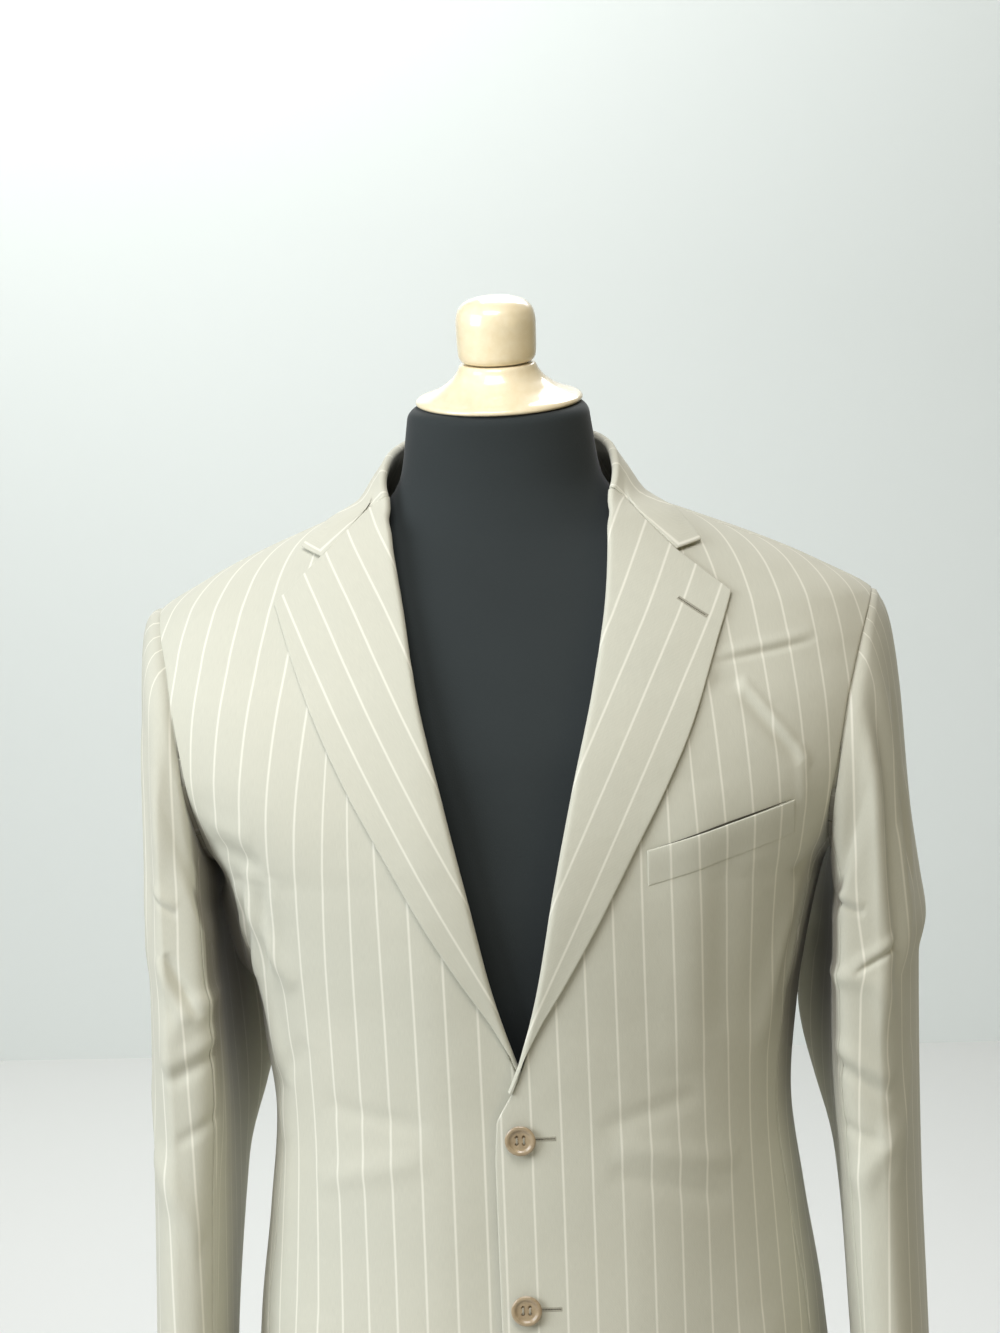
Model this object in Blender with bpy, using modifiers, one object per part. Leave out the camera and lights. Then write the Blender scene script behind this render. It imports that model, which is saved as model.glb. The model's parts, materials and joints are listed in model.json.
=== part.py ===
"""A two-piece suit, a notch-lapel jacket and its trousers, worn by a limbless dress form.

Metres, +Z up. The front faces -Y and +X is the wearer's left. The origin is the centre of the
stand's underside. Every cloth piece is a wall laid on a named surface, the jacket's body, a sleeve
or a trouser leg, and neighbouring pieces stand a seam's width apart.

On a level section an angle of 0 is the front, 90 the wearer's left and 180 the back.
"""

import math

import bmesh
import bpy
import numpy as np
from mathutils import Vector

# Walls and gaps
SEAM = 0.0003
CLOTH = 0.0020
LAPEL_CLOTH = 0.0014
COLLAR_CLOTH = 0.0016
WAISTBAND_CLOTH = 0.0030
WAISTBAND_LIFT = 0.0005
WAISTBAND_ENDS = (0.1, 359.9)

# Jacket body, level sections of its outer face
BODY = (
    # height, half width, front, back, squareness
    (0.760, 0.2000, 0.150, 0.142, 2.30),
    (0.860, 0.1990, 0.146, 0.140, 2.30),
    (0.960, 0.1920, 0.139, 0.129, 2.30),
    (1.040, 0.1810, 0.133, 0.114, 2.30),
    (1.110, 0.1740, 0.132, 0.104, 2.30),
    (1.176, 0.1800, 0.137, 0.107, 2.30),
    (1.230, 0.1900, 0.143, 0.113, 2.35),
    (1.275, 0.2030, 0.146, 0.118, 2.40),
    (1.290, 0.2130, 0.146, 0.119, 2.40),
    (1.310, 0.2260, 0.145, 0.121, 2.40),
    (1.350, 0.2520, 0.139, 0.120, 2.30),
    (1.390, 0.2620, 0.127, 0.117, 2.20),
    (1.420, 0.2560, 0.113, 0.112, 2.10),
    (1.446, 0.2360, 0.098, 0.106, 2.10),
    (1.465, 0.2020, 0.085, 0.100, 2.10),
    (1.485, 0.1580, 0.072, 0.093, 2.05),
    (1.500, 0.1220, 0.063, 0.088, 2.00),
    (1.512, 0.0920, 0.055, 0.082, 2.00),
    (1.525, 0.0815, 0.050, 0.0795, 2.00),
    (1.541, 0.0735, 0.052, 0.0800, 2.00),
    (1.556, 0.0710, 0.052, 0.0820, 2.00),
)
SHOULDER_TIP = 1.446
NECK_POINT = 1.512
NECK_BACK = 1.522
ROWS_BELOW_ARMHOLE = (
    0.760, 0.768, 0.780, 0.800, 0.825, 0.855, 0.890, 0.925, 0.960, 1.000,
    1.040, 1.080, 1.110, 1.145, 1.180, 1.215, 1.245, 1.275,
)
ROWS_ABOVE_ARMHOLE = (
    1.300, 1.330, 1.360, 1.390, 1.415, 1.432, 1.442, 1.446, 1.465, 1.485, 1.500, 1.512,
)

# Armhole seam: how far out it lies at each height
ARMHOLE = (
    # height, x
    (1.275, 0.2030),
    (1.290, 0.2060),
    (1.310, 0.2095),
    (1.350, 0.2180),
    (1.390, 0.2250),
    (1.420, 0.2300),
    (1.446, 0.2360),
)
ARMHOLE_WIDEST = 1.360
FRONT_SEAM_ANGLE = 70.0
BACK_SEAM_ANGLE = 115.0
BACK_COLUMNS = 6
SEAM_TURN = 0.06
SHOULDER_SEAM_TURN = 0.12

# Front edge of either front below its lapel, on the wearer's left; the right one mirrors it
FRONT_EDGE = (
    # height, x
    (0.760, 0.0850),
    (0.768, 0.0600),
    (0.785, 0.0400),
    (0.820, 0.0210),
    (0.870, 0.0030),
    (0.930, -0.0100),
    (0.985, -0.0165),
    (1.040, -0.0170),
    (1.095, -0.0170),
    (1.125, -0.0150),
)
LEFT_LIES_OVER = 0.0010
RIGHT_LIES_UNDER = 0.0050
OVERLAP_REACH = 0.060

# Fold of the lapel, from the break to the gorge, then of the collar, to the centre back
ROLL_LINE = (
    # height, x
    (1.130, -0.0135),
    (1.165, 0.0010),
    (1.210, 0.0141),
    (1.274, 0.0270),
    (1.343, 0.0421),
    (1.398, 0.0550),
    (1.438, 0.0622),
    (1.483, 0.0687),
    (1.520, 0.0723),
)
COLLAR_FOLD = (
    # angle, height
    (75.0, 1.5320),
    (90.0, 1.5410),
    (120.0, 1.5500),
    (150.0, 1.5545),
    (180.0, 1.5560),
)
LAPEL_FOOT = 1.145
LAPEL_EDGE = (
    # height, x
    (1.130, -0.0120),
    (1.165, 0.0035),
    (1.190, 0.0165),
    (1.213, 0.0308),
    (1.255, 0.0550),
    (1.302, 0.0800),
    (1.341, 0.1010),
    (1.395, 0.1264),
    (1.4285, 0.1400),
    (1.4556, 0.1500),
)
LAPEL_BEND = (
    # share of the way up, radius of the fold
    (0.00, 0.0021),
    (0.45, 0.0034),
    (1.00, 0.0030),
)
COLLAR_BEND = 0.0030
FOLD_GAP = 0.0009
LAPEL_EDGE_LIFT = 0.0029
COLLAR_EDGE_LIFT = 0.0036
COLLAR_ARCH = 0.0022
NOTCH_SHARE = 0.56
COLLAR_CORNER = (0.1305, 1.488)
COLLAR_EDGE = (
    # share of the way from the corner to the centre back, height
    (0.00, 1.488),
    (0.09, 1.499),
    (0.25, 1.508),
    (0.50, 1.513),
    (1.00, 1.515),
)
NOTCH_REACH = 0.35
GORGE_GAP = 0.0012

# Sleeve, from the armhole to the cuff
SLEEVE = (
    # outer x, outer height, inner x, inner height, centre y, half depth
    (0.2360, 1.4460, 0.2030, 1.2750, 0.000, 0.078),
    (0.2490, 1.4385, 0.2050, 1.2605, 0.000, 0.084),
    (0.2555, 1.4160, 0.2060, 1.2485, 0.000, 0.087),
    (0.2580, 1.3700, 0.2072, 1.2345, 0.000, 0.089),
    (0.2585, 1.3000, 0.2076, 1.2185, 0.000, 0.089),
    (0.2595, 1.2100, 0.2066, 1.1935, 0.000, 0.088),
    (0.2595, 1.1200, 0.2050, 1.1150, 0.000, 0.085),
    (0.2600, 1.0500, 0.2060, 1.0500, -0.005, 0.082),
    (0.2620, 0.9300, 0.2105, 0.9300, -0.020, 0.076),
    (0.2630, 0.8250, 0.2150, 0.8250, -0.038, 0.071),
)
SLEEVE_GAP = 0.0006
UNDERARM_GAP = 0.0014
SLEEVE_SETTLES = 2.0
TOP_SLEEVE = (-105.0, 110.0)
SLEEVE_SEAM_TURN = 0.15
SLEEVE_ROWS = (0, 0.5, 1, 1.5, 2, 3, 4, 5, 5.5, 6, 7, 8, 9)

# Soft folds big enough for the wall: where each starts and ends, its half width and its lift
BODY_FOLDS = (
    # side, angle, height, angle, height, half width, lift
    (-1, 62.0, 1.275, 50.0, 1.205, 0.012, 0.0035),
    (-1, 68.0, 1.250, 64.0, 1.130, 0.013, 0.0040),
    (1, 66.0, 1.270, 58.0, 1.150, 0.014, 0.0030),
    (-1, 112.0, 1.270, 128.0, 1.150, 0.016, 0.0035),
    (1, 112.0, 1.270, 128.0, 1.150, 0.016, 0.0035),
)
SLEEVE_FOLDS = (
    # side, angle, station, angle, station, half width, lift
    (1, 150.0, 4.6, 60.0, 5.3, 0.013, 0.0030),
    (1, 60.0, 6.2, 130.0, 6.9, 0.014, 0.0030),
    (-1, 150.0, 4.8, 70.0, 5.6, 0.013, 0.0030),
    (-1, 50.0, 6.4, 120.0, 7.2, 0.014, 0.0030),
)
BODY_DEGREE = 0.0031
SLEEVE_DEGREE = 0.0011
SLEEVE_STATION = 0.080

# What lies on the jacket
WELT = (
    # x, height of its upper edge, at either end
    (0.0876, 1.304),
    (0.1807, 1.331),
)
WELT_HEIGHT = 0.0235
WELT_CLOTH = 0.0012
WELT_LIFT = 0.0018
FLAP_ANGLES = (21.5, 73.0)
FLAP_HEIGHTS = (0.890, 0.945)
FLAP_CLOTH = 0.0014
FLAP_LIFT = 0.0022
FRONT_BUTTON_HEIGHTS = (1.113, 1.000)
FRONT_BUTTON = (0.0100, 0.0032)
CUFF_BUTTON_STATIONS = (8.55, 8.71, 8.87)
CUFF_BUTTON_ANGLE = -56.0
CUFF_BUTTON = (0.0075, 0.0028)
BUTTON_GAP = 0.0012

# Trouser leg, level sections of its outer face
TROUSERS = (
    # height, half width, front, back, squareness, centre x
    (0.045, 0.0520, 0.084, 0.090, 1.75, 0.0960),
    (0.200, 0.0560, 0.087, 0.092, 1.75, 0.0970),
    (0.500, 0.0680, 0.094, 0.098, 1.85, 0.0980),
    (0.650, 0.0790, 0.101, 0.107, 1.95, 0.0960),
    (0.750, 0.0860, 0.108, 0.115, 2.05, 0.0940),
    (0.780, 0.0885, 0.110, 0.118, 2.10, 0.0927),
    (0.800, 0.0925, 0.112, 0.120, 2.15, 0.0925),
    (0.825, 0.1110, 0.114, 0.122, 2.15, 0.0750),
    (0.850, 0.1340, 0.116, 0.123, 2.15, 0.0520),
    (0.875, 0.1570, 0.118, 0.123, 2.20, 0.0300),
    (0.900, 0.1740, 0.120, 0.122, 2.20, 0.0120),
    (0.960, 0.1800, 0.124, 0.118, 2.20, 0.0000),
    (1.040, 0.1680, 0.118, 0.103, 2.20, 0.0000),
    (1.062, 0.1620, 0.115, 0.096, 2.20, 0.0000),
    (1.100, 0.1570, 0.112, 0.092, 2.20, 0.0000),
)
FORK = 0.800
WAIST_SEAM = 1.062
WAIST_TOP = 1.100
TROUSER_ROWS = (
    0.045, 0.110, 0.200, 0.320, 0.440, 0.540, 0.620, 0.690, 0.740, 0.775,
    0.800, 0.808, 0.825, 0.850, 0.875, 0.905, 0.950, 1.000, 1.040, 1.062,
)
FLY = (0.0010, 0.0340, 0.915, 1.060)
FLY_NARROWS = 0.35
FLY_CLOTH = 0.0012
FLY_LIFT = 0.0020

# Dress form
FORM = (
    # height, half width, front, back, squareness
    (0.875, 0.1600, 0.106, 0.104, 2.20),
    (0.900, 0.1660, 0.110, 0.108, 2.20),
    (0.960, 0.1660, 0.112, 0.104, 2.20),
    (1.040, 0.1550, 0.107, 0.090, 2.15),
    (1.100, 0.1470, 0.102, 0.081, 2.10),
    (1.200, 0.1650, 0.120, 0.096, 2.10),
    (1.275, 0.1800, 0.130, 0.106, 2.10),
    (1.350, 0.2000, 0.124, 0.108, 2.10),
    (1.400, 0.2050, 0.109, 0.101, 2.05),
    (1.430, 0.1980, 0.096, 0.096, 2.00),
    (1.455, 0.1740, 0.082, 0.090, 2.00),
    (1.480, 0.1280, 0.064, 0.082, 2.00),
    (1.500, 0.0900, 0.052, 0.076, 2.00),
    (1.530, 0.0660, 0.044, 0.072, 2.00),
    (1.560, 0.0615, 0.042, 0.070, 2.00),
    (1.575, 0.0595, 0.042, 0.070, 2.00),
)
FORM_BOTTOM = 0.875
NECK_TOP = 1.575
NECK_BEND = 1.530
NECK_CENTRE = 0.014
NECK_TILT = math.radians(5.5)
NECK_LEAN = (1.440, 1.530, -0.0060)
FORM_COLUMNS = 24
FORM_ROWS = (
    0.875, 0.881, 0.905, 0.960, 1.030, 1.100, 1.170, 1.240, 1.300, 1.350,
    1.395, 1.430, 1.458, 1.480, 1.498, 1.515, 1.540, 1.575,
)
NECK_CAP = (
    # height above the neck, radius
    (0.0270, 0.0000),
    (0.0270, 0.0253),
    (0.0230, 0.0262),
    (0.0170, 0.0305),
    (0.0105, 0.0390),
    (0.0065, 0.0480),
    (0.0045, 0.0545),
    (0.0036, 0.0558),
    (0.0020, 0.0560),
    (0.0006, 0.0556),
    (0.0006, 0.0000),
)
NECK_KNOB = (
    # height above the neck, radius
    (0.0710, 0.0000),
    (0.0705, 0.0120),
    (0.0680, 0.0200),
    (0.0630, 0.0250),
    (0.0560, 0.0266),
    (0.0400, 0.0263),
    (0.0310, 0.0258),
    (0.0276, 0.0235),
    (0.0273, 0.0000),
)
BASE = (
    # height, radius
    (0.0250, 0.0000),
    (0.0250, 0.1780),
    (0.0238, 0.1840),
    (0.0200, 0.1885),
    (0.0150, 0.1900),
    (0.0040, 0.1900),
    (0.0000, 0.1870),
    (0.0000, 0.0000),
)
BASE_TOP = 0.0250
POLE_RADIUS = 0.0130
POLE_X = 0.0900

COLOURS = {
    # name: red, green, blue, roughness, metallic
    "suit_cloth": (0.60, 0.56, 0.45, 0.75, 0.0),
    "button_horn": (0.42, 0.33, 0.21, 0.35, 0.0),
    "form_jersey": (0.030, 0.042, 0.042, 0.90, 0.0),
    "varnished_wood": (0.86, 0.72, 0.44, 0.25, 0.0),
    "stand_steel": (0.55, 0.55, 0.55, 0.30, 1.0),
}

# Fineness of what is measured along a curve or across a surface
ANGLE_STEP = 0.05
HEIGHT_STEP = 0.0002
STATION_STEP = 0.002
PLACE_STEP = 0.001
FOLD_SAMPLES = 40
EDGE_SAMPLES = 60


def column(table, index):
    return np.array([row[index] for row in table], float)


def smooth_at(at, knots, values):
    """Read the smooth curve through the knots that never overshoots their values."""
    span = np.diff(knots)
    slope = np.diff(values) / span
    tangent = np.concatenate([slope[:1], np.zeros(len(slope) - 1), slope[-1:]])
    turning = slope[:-1] * slope[1:] <= 0
    mean = 2 * slope[:-1] * slope[1:] / np.where(turning, 1.0, slope[:-1] + slope[1:])
    tangent[1:-1] = np.where(turning, 0.0, mean)
    cell = np.clip(np.searchsorted(knots, at, side="right") - 1, 0, len(span) - 1)
    t = (at - knots[cell]) / span[cell]
    low = values[cell] * (1 + 2 * t) * (1 - t) ** 2 + tangent[cell] * span[cell] * t * (1 - t) ** 2
    high = values[cell + 1] * t * t * (3 - 2 * t) - tangent[cell + 1] * span[cell] * t * t * (1 - t)
    return low + high


def read(table, at, index):
    """Column index of a table, read smoothly at a value of its first column."""
    return smooth_at(np.asarray(at, float), column(table, 0), column(table, index))


def ease(share):
    share = np.clip(share, 0.0, 1.0)
    return share * share * (3 - 2 * share)


def ring(table, angle, height):
    """The point of a level section at an angle."""
    half_width = read(table, height, 1)
    square = read(table, height, 4)
    sine = np.sin(np.radians(angle))
    cosine = np.cos(np.radians(angle))
    depth = np.where(cosine > 0, read(table, height, 2), read(table, height, 3))
    centre = read(table, height, 5) if len(table[0]) > 5 else 0.0
    x = centre + half_width * np.sign(sine) * np.abs(sine) ** (2 / square)
    y = -depth * np.sign(cosine) * np.abs(cosine) ** (2 / square)
    return np.stack([x, y, height + 0.0 * x], axis=-1)


def locate(point):
    """The angle and height of a point of the jacket's body."""
    x, y, height = np.moveaxis(point, -1, 0)
    power = read(BODY, height, 4) / 2
    depth = np.where(y < 0, read(BODY, height, 2), read(BODY, height, 3))
    sine = np.sign(x) * (np.abs(x) / read(BODY, height, 1)) ** power
    cosine = -np.sign(y) * (np.abs(y) / depth) ** power
    angle = np.degrees(np.arctan2(sine, cosine))
    return np.where(angle < -90, angle + 360, angle), height


def angle_at(x, height, table=BODY):
    """The angle, on the front, where a level section is x from its centre."""
    share = np.clip(np.abs(x) / read(table, height, 1), 0.0, 1.0)
    return np.sign(x) * np.degrees(np.arcsin(share ** (read(table, height, 4) / 2)))


def unit(vector):
    return vector / np.linalg.norm(vector, axis=-1, keepdims=True)


def outward(surface, angle, height, height_step=HEIGHT_STEP):
    """The outward normal of surface(angle, height)."""
    along = surface(angle + ANGLE_STEP, height) - surface(angle - ANGLE_STEP, height)
    up = surface(angle, height + height_step) - surface(angle, height - height_step)
    return unit(np.cross(along, up))


def fold_lift(folds, side, angle, height, degree, rise):
    """How far the soft folds of one side lift the cloth."""
    lift = 0.0 * angle
    for fold_side, angle_1, height_1, angle_2, height_2, half_width, top in folds:
        if fold_side != side:
            continue
        run = np.array([(angle_2 - angle_1) * degree, (height_2 - height_1) * rise])
        across = (angle - angle_1) * degree
        down = (height - height_1) * rise
        share = (across * run[0] + down * run[1]) / (run @ run)
        distance = (across * run[1] - down * run[0]) / math.hypot(*run)
        ends = np.clip(1 - (2 * share - 1) ** 4, 0.0, 1.0)
        lift = lift + top * ends * np.exp(-((distance / half_width) ** 2))
    return lift


def on_body(angle, height, lift, side):
    """Points of the jacket's body moved out by lift, with the outward normals there."""
    angle, height = np.broadcast_arrays(np.asarray(angle, float), np.asarray(height, float))
    point = ring(BODY, angle, height)
    normal = outward(lambda a, h: ring(BODY, a, h), angle, height)
    near = 1 - ease(np.abs(point[..., 0]) / OVERLAP_REACH)
    near = near * (np.abs(angle) < 90)
    overlap = near * (LEFT_LIES_OVER if side > 0 else -RIGHT_LIES_UNDER)
    folds = fold_lift(BODY_FOLDS, side, angle, height, BODY_DEGREE, 1.0)
    point = point + normal * (lift + overlap + folds)[..., None]
    flip = np.array([side, 1.0, 1.0])
    return point * flip, normal * flip


def armhole_angle(height):
    height = np.clip(height, ARMHOLE[0][0], SHOULDER_TIP)
    return angle_at(read(ARMHOLE, height, 1), height)


def underarm_height(angle):
    """Height of the underarm at an angle between the side seams."""
    heights = np.linspace(ARMHOLE[0][0], ROWS_ABOVE_ARMHOLE[1], EDGE_SAMPLES)
    return np.interp(np.minimum(angle, 180 - angle), armhole_angle(heights)[::-1], heights[::-1])


def fold_line(place):
    """Angle and height of the fold: 0 at the break, 1 at the gorge, 2 at the centre back."""
    heights = np.linspace(ROLL_LINE[0][0], ROLL_LINE[-1][0], FOLD_SAMPLES)
    places = place_of(heights)
    angles = angle_at(read(ROLL_LINE, heights, 1), heights)
    collar_angles = column(COLLAR_FOLD, 0)
    collar_places = 1 + (collar_angles - angles[-1]) / (collar_angles[-1] - angles[-1])
    places = np.concatenate([places, collar_places])
    angle = smooth_at(place, places, np.concatenate([angles, collar_angles]))
    height = smooth_at(place, places, np.concatenate([heights, column(COLLAR_FOLD, 1)]))
    return angle, height


def fold_frame(place, bend):
    """Where the fold's bend starts, with the ways out of the cloth and over the edge."""
    place = np.asarray(place, float)
    angle, height = fold_line(place)
    point = ring(BODY, angle, height)
    normal = outward(lambda a, h: ring(BODY, a, h), angle, height)
    ahead = ring(BODY, *fold_line(np.minimum(place + PLACE_STEP, 2.0)))
    behind = ring(BODY, *fold_line(place - PLACE_STEP))
    over = unit(np.cross(normal, unit(ahead - behind)))
    start = point - over * np.asarray(bend)[..., None]
    return start, normal, over


def place_of(height):
    """Place on the fold line of a height on the lapel."""
    return (height - ROLL_LINE[0][0]) / (ROLL_LINE[-1][0] - ROLL_LINE[0][0])


def lapel_bend(share):
    return read(LAPEL_BEND, share, 1)


def front_edge_angle(height):
    """The angle where a front ends: its own edge, and above the break the lapel's fold."""
    heights = np.linspace(LAPEL_FOOT, ROLL_LINE[-1][0], EDGE_SAMPLES)
    places = place_of(heights)
    start, _, over = fold_frame(places, lapel_bend(places))
    angles, folded_heights = locate(start - over * FOLD_GAP)
    edge_heights = column(FRONT_EDGE, 0)
    dense = np.linspace(edge_heights[0], edge_heights[-1], EDGE_SAMPLES)
    plain = angle_at(read(FRONT_EDGE, dense, 1), dense)
    return np.interp(height, np.append(dense, folded_heights), np.append(plain, angles))


def between(low, high, share):
    return low + (high - low) * share


def leaning(point):
    """The neck, with the form's, stands a little towards the wearer's right."""
    start, end, shift = NECK_LEAN
    shift = shift * ease((point[..., 2] - start) / (end - start))
    return point + shift[..., None] * np.array([1.0, 0.0, 0.0])


def make_material(name):
    red, green, blue, roughness, metallic = COLOURS[name]
    material = bpy.data.materials.new(name)
    material.use_nodes = True
    shader = material.node_tree.nodes["Principled BSDF"]
    shader.inputs["Base Color"].default_value = (red, green, blue, 1.0)
    shader.inputs["Roughness"].default_value = roughness
    shader.inputs["Metallic"].default_value = metallic
    return material


def add_object(name, data, material):
    made = bpy.data.objects.new(name, data)
    made.data.materials.append(bpy.data.materials[material])
    bpy.data.collections["two_piece_suit"].objects.link(made)
    return made


def add_mesh(name, shape, material):
    data = bpy.data.meshes.new(name)
    shape.to_mesh(data)
    shape.free()
    data.shade_smooth()
    data.set_sharp_from_angle(angle=math.radians(40))
    return add_object(name, data, material)


def face_outwards(shape):
    """Make a closed shape's faces agree, and point out of it."""
    bmesh.ops.recalc_face_normals(shape, faces=shape.faces)
    if shape.calc_volume(signed=True) < 0:
        bmesh.ops.reverse_faces(shape, faces=shape.faces)


def wall(name, skin, across, up, thickness, material="suit_cloth"):
    """A wall behind skin(across, up), which gives the points and normals of its face."""
    shape = bmesh.new()
    columns = len(across) - 1
    rows = len(up) - 1
    bmesh.ops.create_grid(shape, x_segments=columns, y_segments=rows, size=0.5)
    made = bmesh.ops.extrude_face_region(shape, geom=shape.faces[:], use_keep_orig=True)
    backs = {item for item in made["geom"] if isinstance(item, bmesh.types.BMVert)}
    vertices = list(shape.verts)
    where_across = [round((vertex.co.x + 0.5) * columns) for vertex in vertices]
    where_up = [round((vertex.co.y + 0.5) * rows) for vertex in vertices]
    points, normals = skin(np.array(across)[where_across], np.array(up)[where_up])
    depth = np.array([thickness if vertex in backs else 0.0 for vertex in vertices])
    for vertex, place in zip(vertices, leaning(points - normals * depth[:, None])):
        vertex.co = place
    face_outwards(shape)
    return add_mesh(name, shape, material)


def shares(count):
    return np.linspace(0.0, 1.0, count + 1)


def side_name(side):
    return "left" if side > 0 else "right"


def outer_limit(height, side_seam):
    """How far round a front or back goes: to its side seam, and higher to the shoulder seam."""
    shoulder = 90.0 - SHOULDER_SEAM_TURN
    return np.where(height < ARMHOLE_WIDEST, side_seam - SEAM_TURN, shoulder)


def jacket_front(side):
    def skin(share, height):
        outer = np.minimum(armhole_angle(height), outer_limit(height, FRONT_SEAM_ANGLE))
        angle = between(front_edge_angle(height), outer, share)
        return on_body(angle, height, 0.0, side)

    rows = ROWS_BELOW_ARMHOLE + ROWS_ABOVE_ARMHOLE
    wall("jacket_front_" + side_name(side), skin, shares(9), rows, CLOTH)


def jacket_side(side):
    top = ROWS_BELOW_ARMHOLE[-1]

    def skin(share, height):
        angle = between(FRONT_SEAM_ANGLE + SEAM_TURN, BACK_SEAM_ANGLE - SEAM_TURN, share)
        height = np.where(height >= top, underarm_height(angle) - SEAM, height)
        return on_body(angle, height, 0.0, side)

    wall("jacket_side_" + side_name(side), skin, shares(5), ROWS_BELOW_ARMHOLE, CLOTH)


def neck_height(angle):
    """Height of the neck seam, which rises from the shoulder seam to the centre back."""
    return between(NECK_POINT, NECK_BACK, ease((angle - 90) / 90))


def jacket_back(side):
    def skin(share, height):
        limit = outer_limit(height, 180 - BACK_SEAM_ANGLE)
        outer = 180 - np.minimum(armhole_angle(height), limit)
        angle = between(outer, 180 - angle_at(SEAM / 2, height), share)
        above = np.clip((height - SHOULDER_TIP) / (NECK_POINT - SHOULDER_TIP), 0.0, 1.0)
        height = height + above * (neck_height(angle) - NECK_POINT)
        return on_body(angle, height, 0.0, side)

    rows = ROWS_BELOW_ARMHOLE + ROWS_ABOVE_ARMHOLE
    wall("jacket_back_" + side_name(side), skin, shares(BACK_COLUMNS), rows, CLOTH)


def bent(start, normal, over, bend, turn, depth):
    """A point of a fold that starts on the cloth's inner face and turns over its edge."""
    turn = np.radians(turn)[..., None]
    rise = -depth + bend[..., None] * (1 - np.cos(turn))
    point = start + normal * rise + over * bend[..., None] * np.sin(turn)
    return point, over * np.sin(turn) - normal * np.cos(turn)


def lapel(side):
    """The fold first, across 0 to 1, then the face that lies on the front, 1 to 2."""
    foot = place_of(LAPEL_FOOT)
    flip = np.array([side, 1.0, 1.0])

    def skin(across, up):
        place = between(foot, 1.0 - GORGE_GAP, up)
        bend = lapel_bend(place)
        start, normal, over = fold_frame(place, bend)
        start_angle, start_height = locate(start)
        base, _ = on_body(start_angle, start_height, 0.0, side)
        folded, folded_normal = bent(base * flip, normal, over, bend, 180 * across, CLOTH)
        share = np.clip(across - 1, 0.0, 1.0)
        edge_height = between(LAPEL_FOOT, LAPEL_EDGE[-1][0], up)
        x = between(start[..., 0], read(LAPEL_EDGE, edge_height, 1), share)
        height = between(start_height, edge_height, share)
        lift = between(2 * bend - CLOTH, LAPEL_EDGE_LIFT, ease(share))
        flat, flat_normal = on_body(angle_at(x, height), height, lift, side)
        lies_flat = (across > 1)[..., None]
        return (
            np.where(lies_flat, flat, folded * flip),
            np.where(lies_flat, flat_normal, folded_normal * flip),
        )

    flat = np.array([NOTCH_SHARE / 3, NOTCH_SHARE * 2 / 3, NOTCH_SHARE, 0.78, 1.0])
    across = np.append(np.linspace(0, 1, 5), 1 + flat)
    rows = [row for row in ROWS_BELOW_ARMHOLE + ROWS_ABOVE_ARMHOLE if row >= LAPEL_FOOT]
    up = (np.array(rows + [ROLL_LINE[-1][0]]) - LAPEL_FOOT) / (ROLL_LINE[-1][0] - LAPEL_FOOT)
    wall("lapel_" + side_name(side), skin, across, up, LAPEL_CLOTH)


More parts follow.
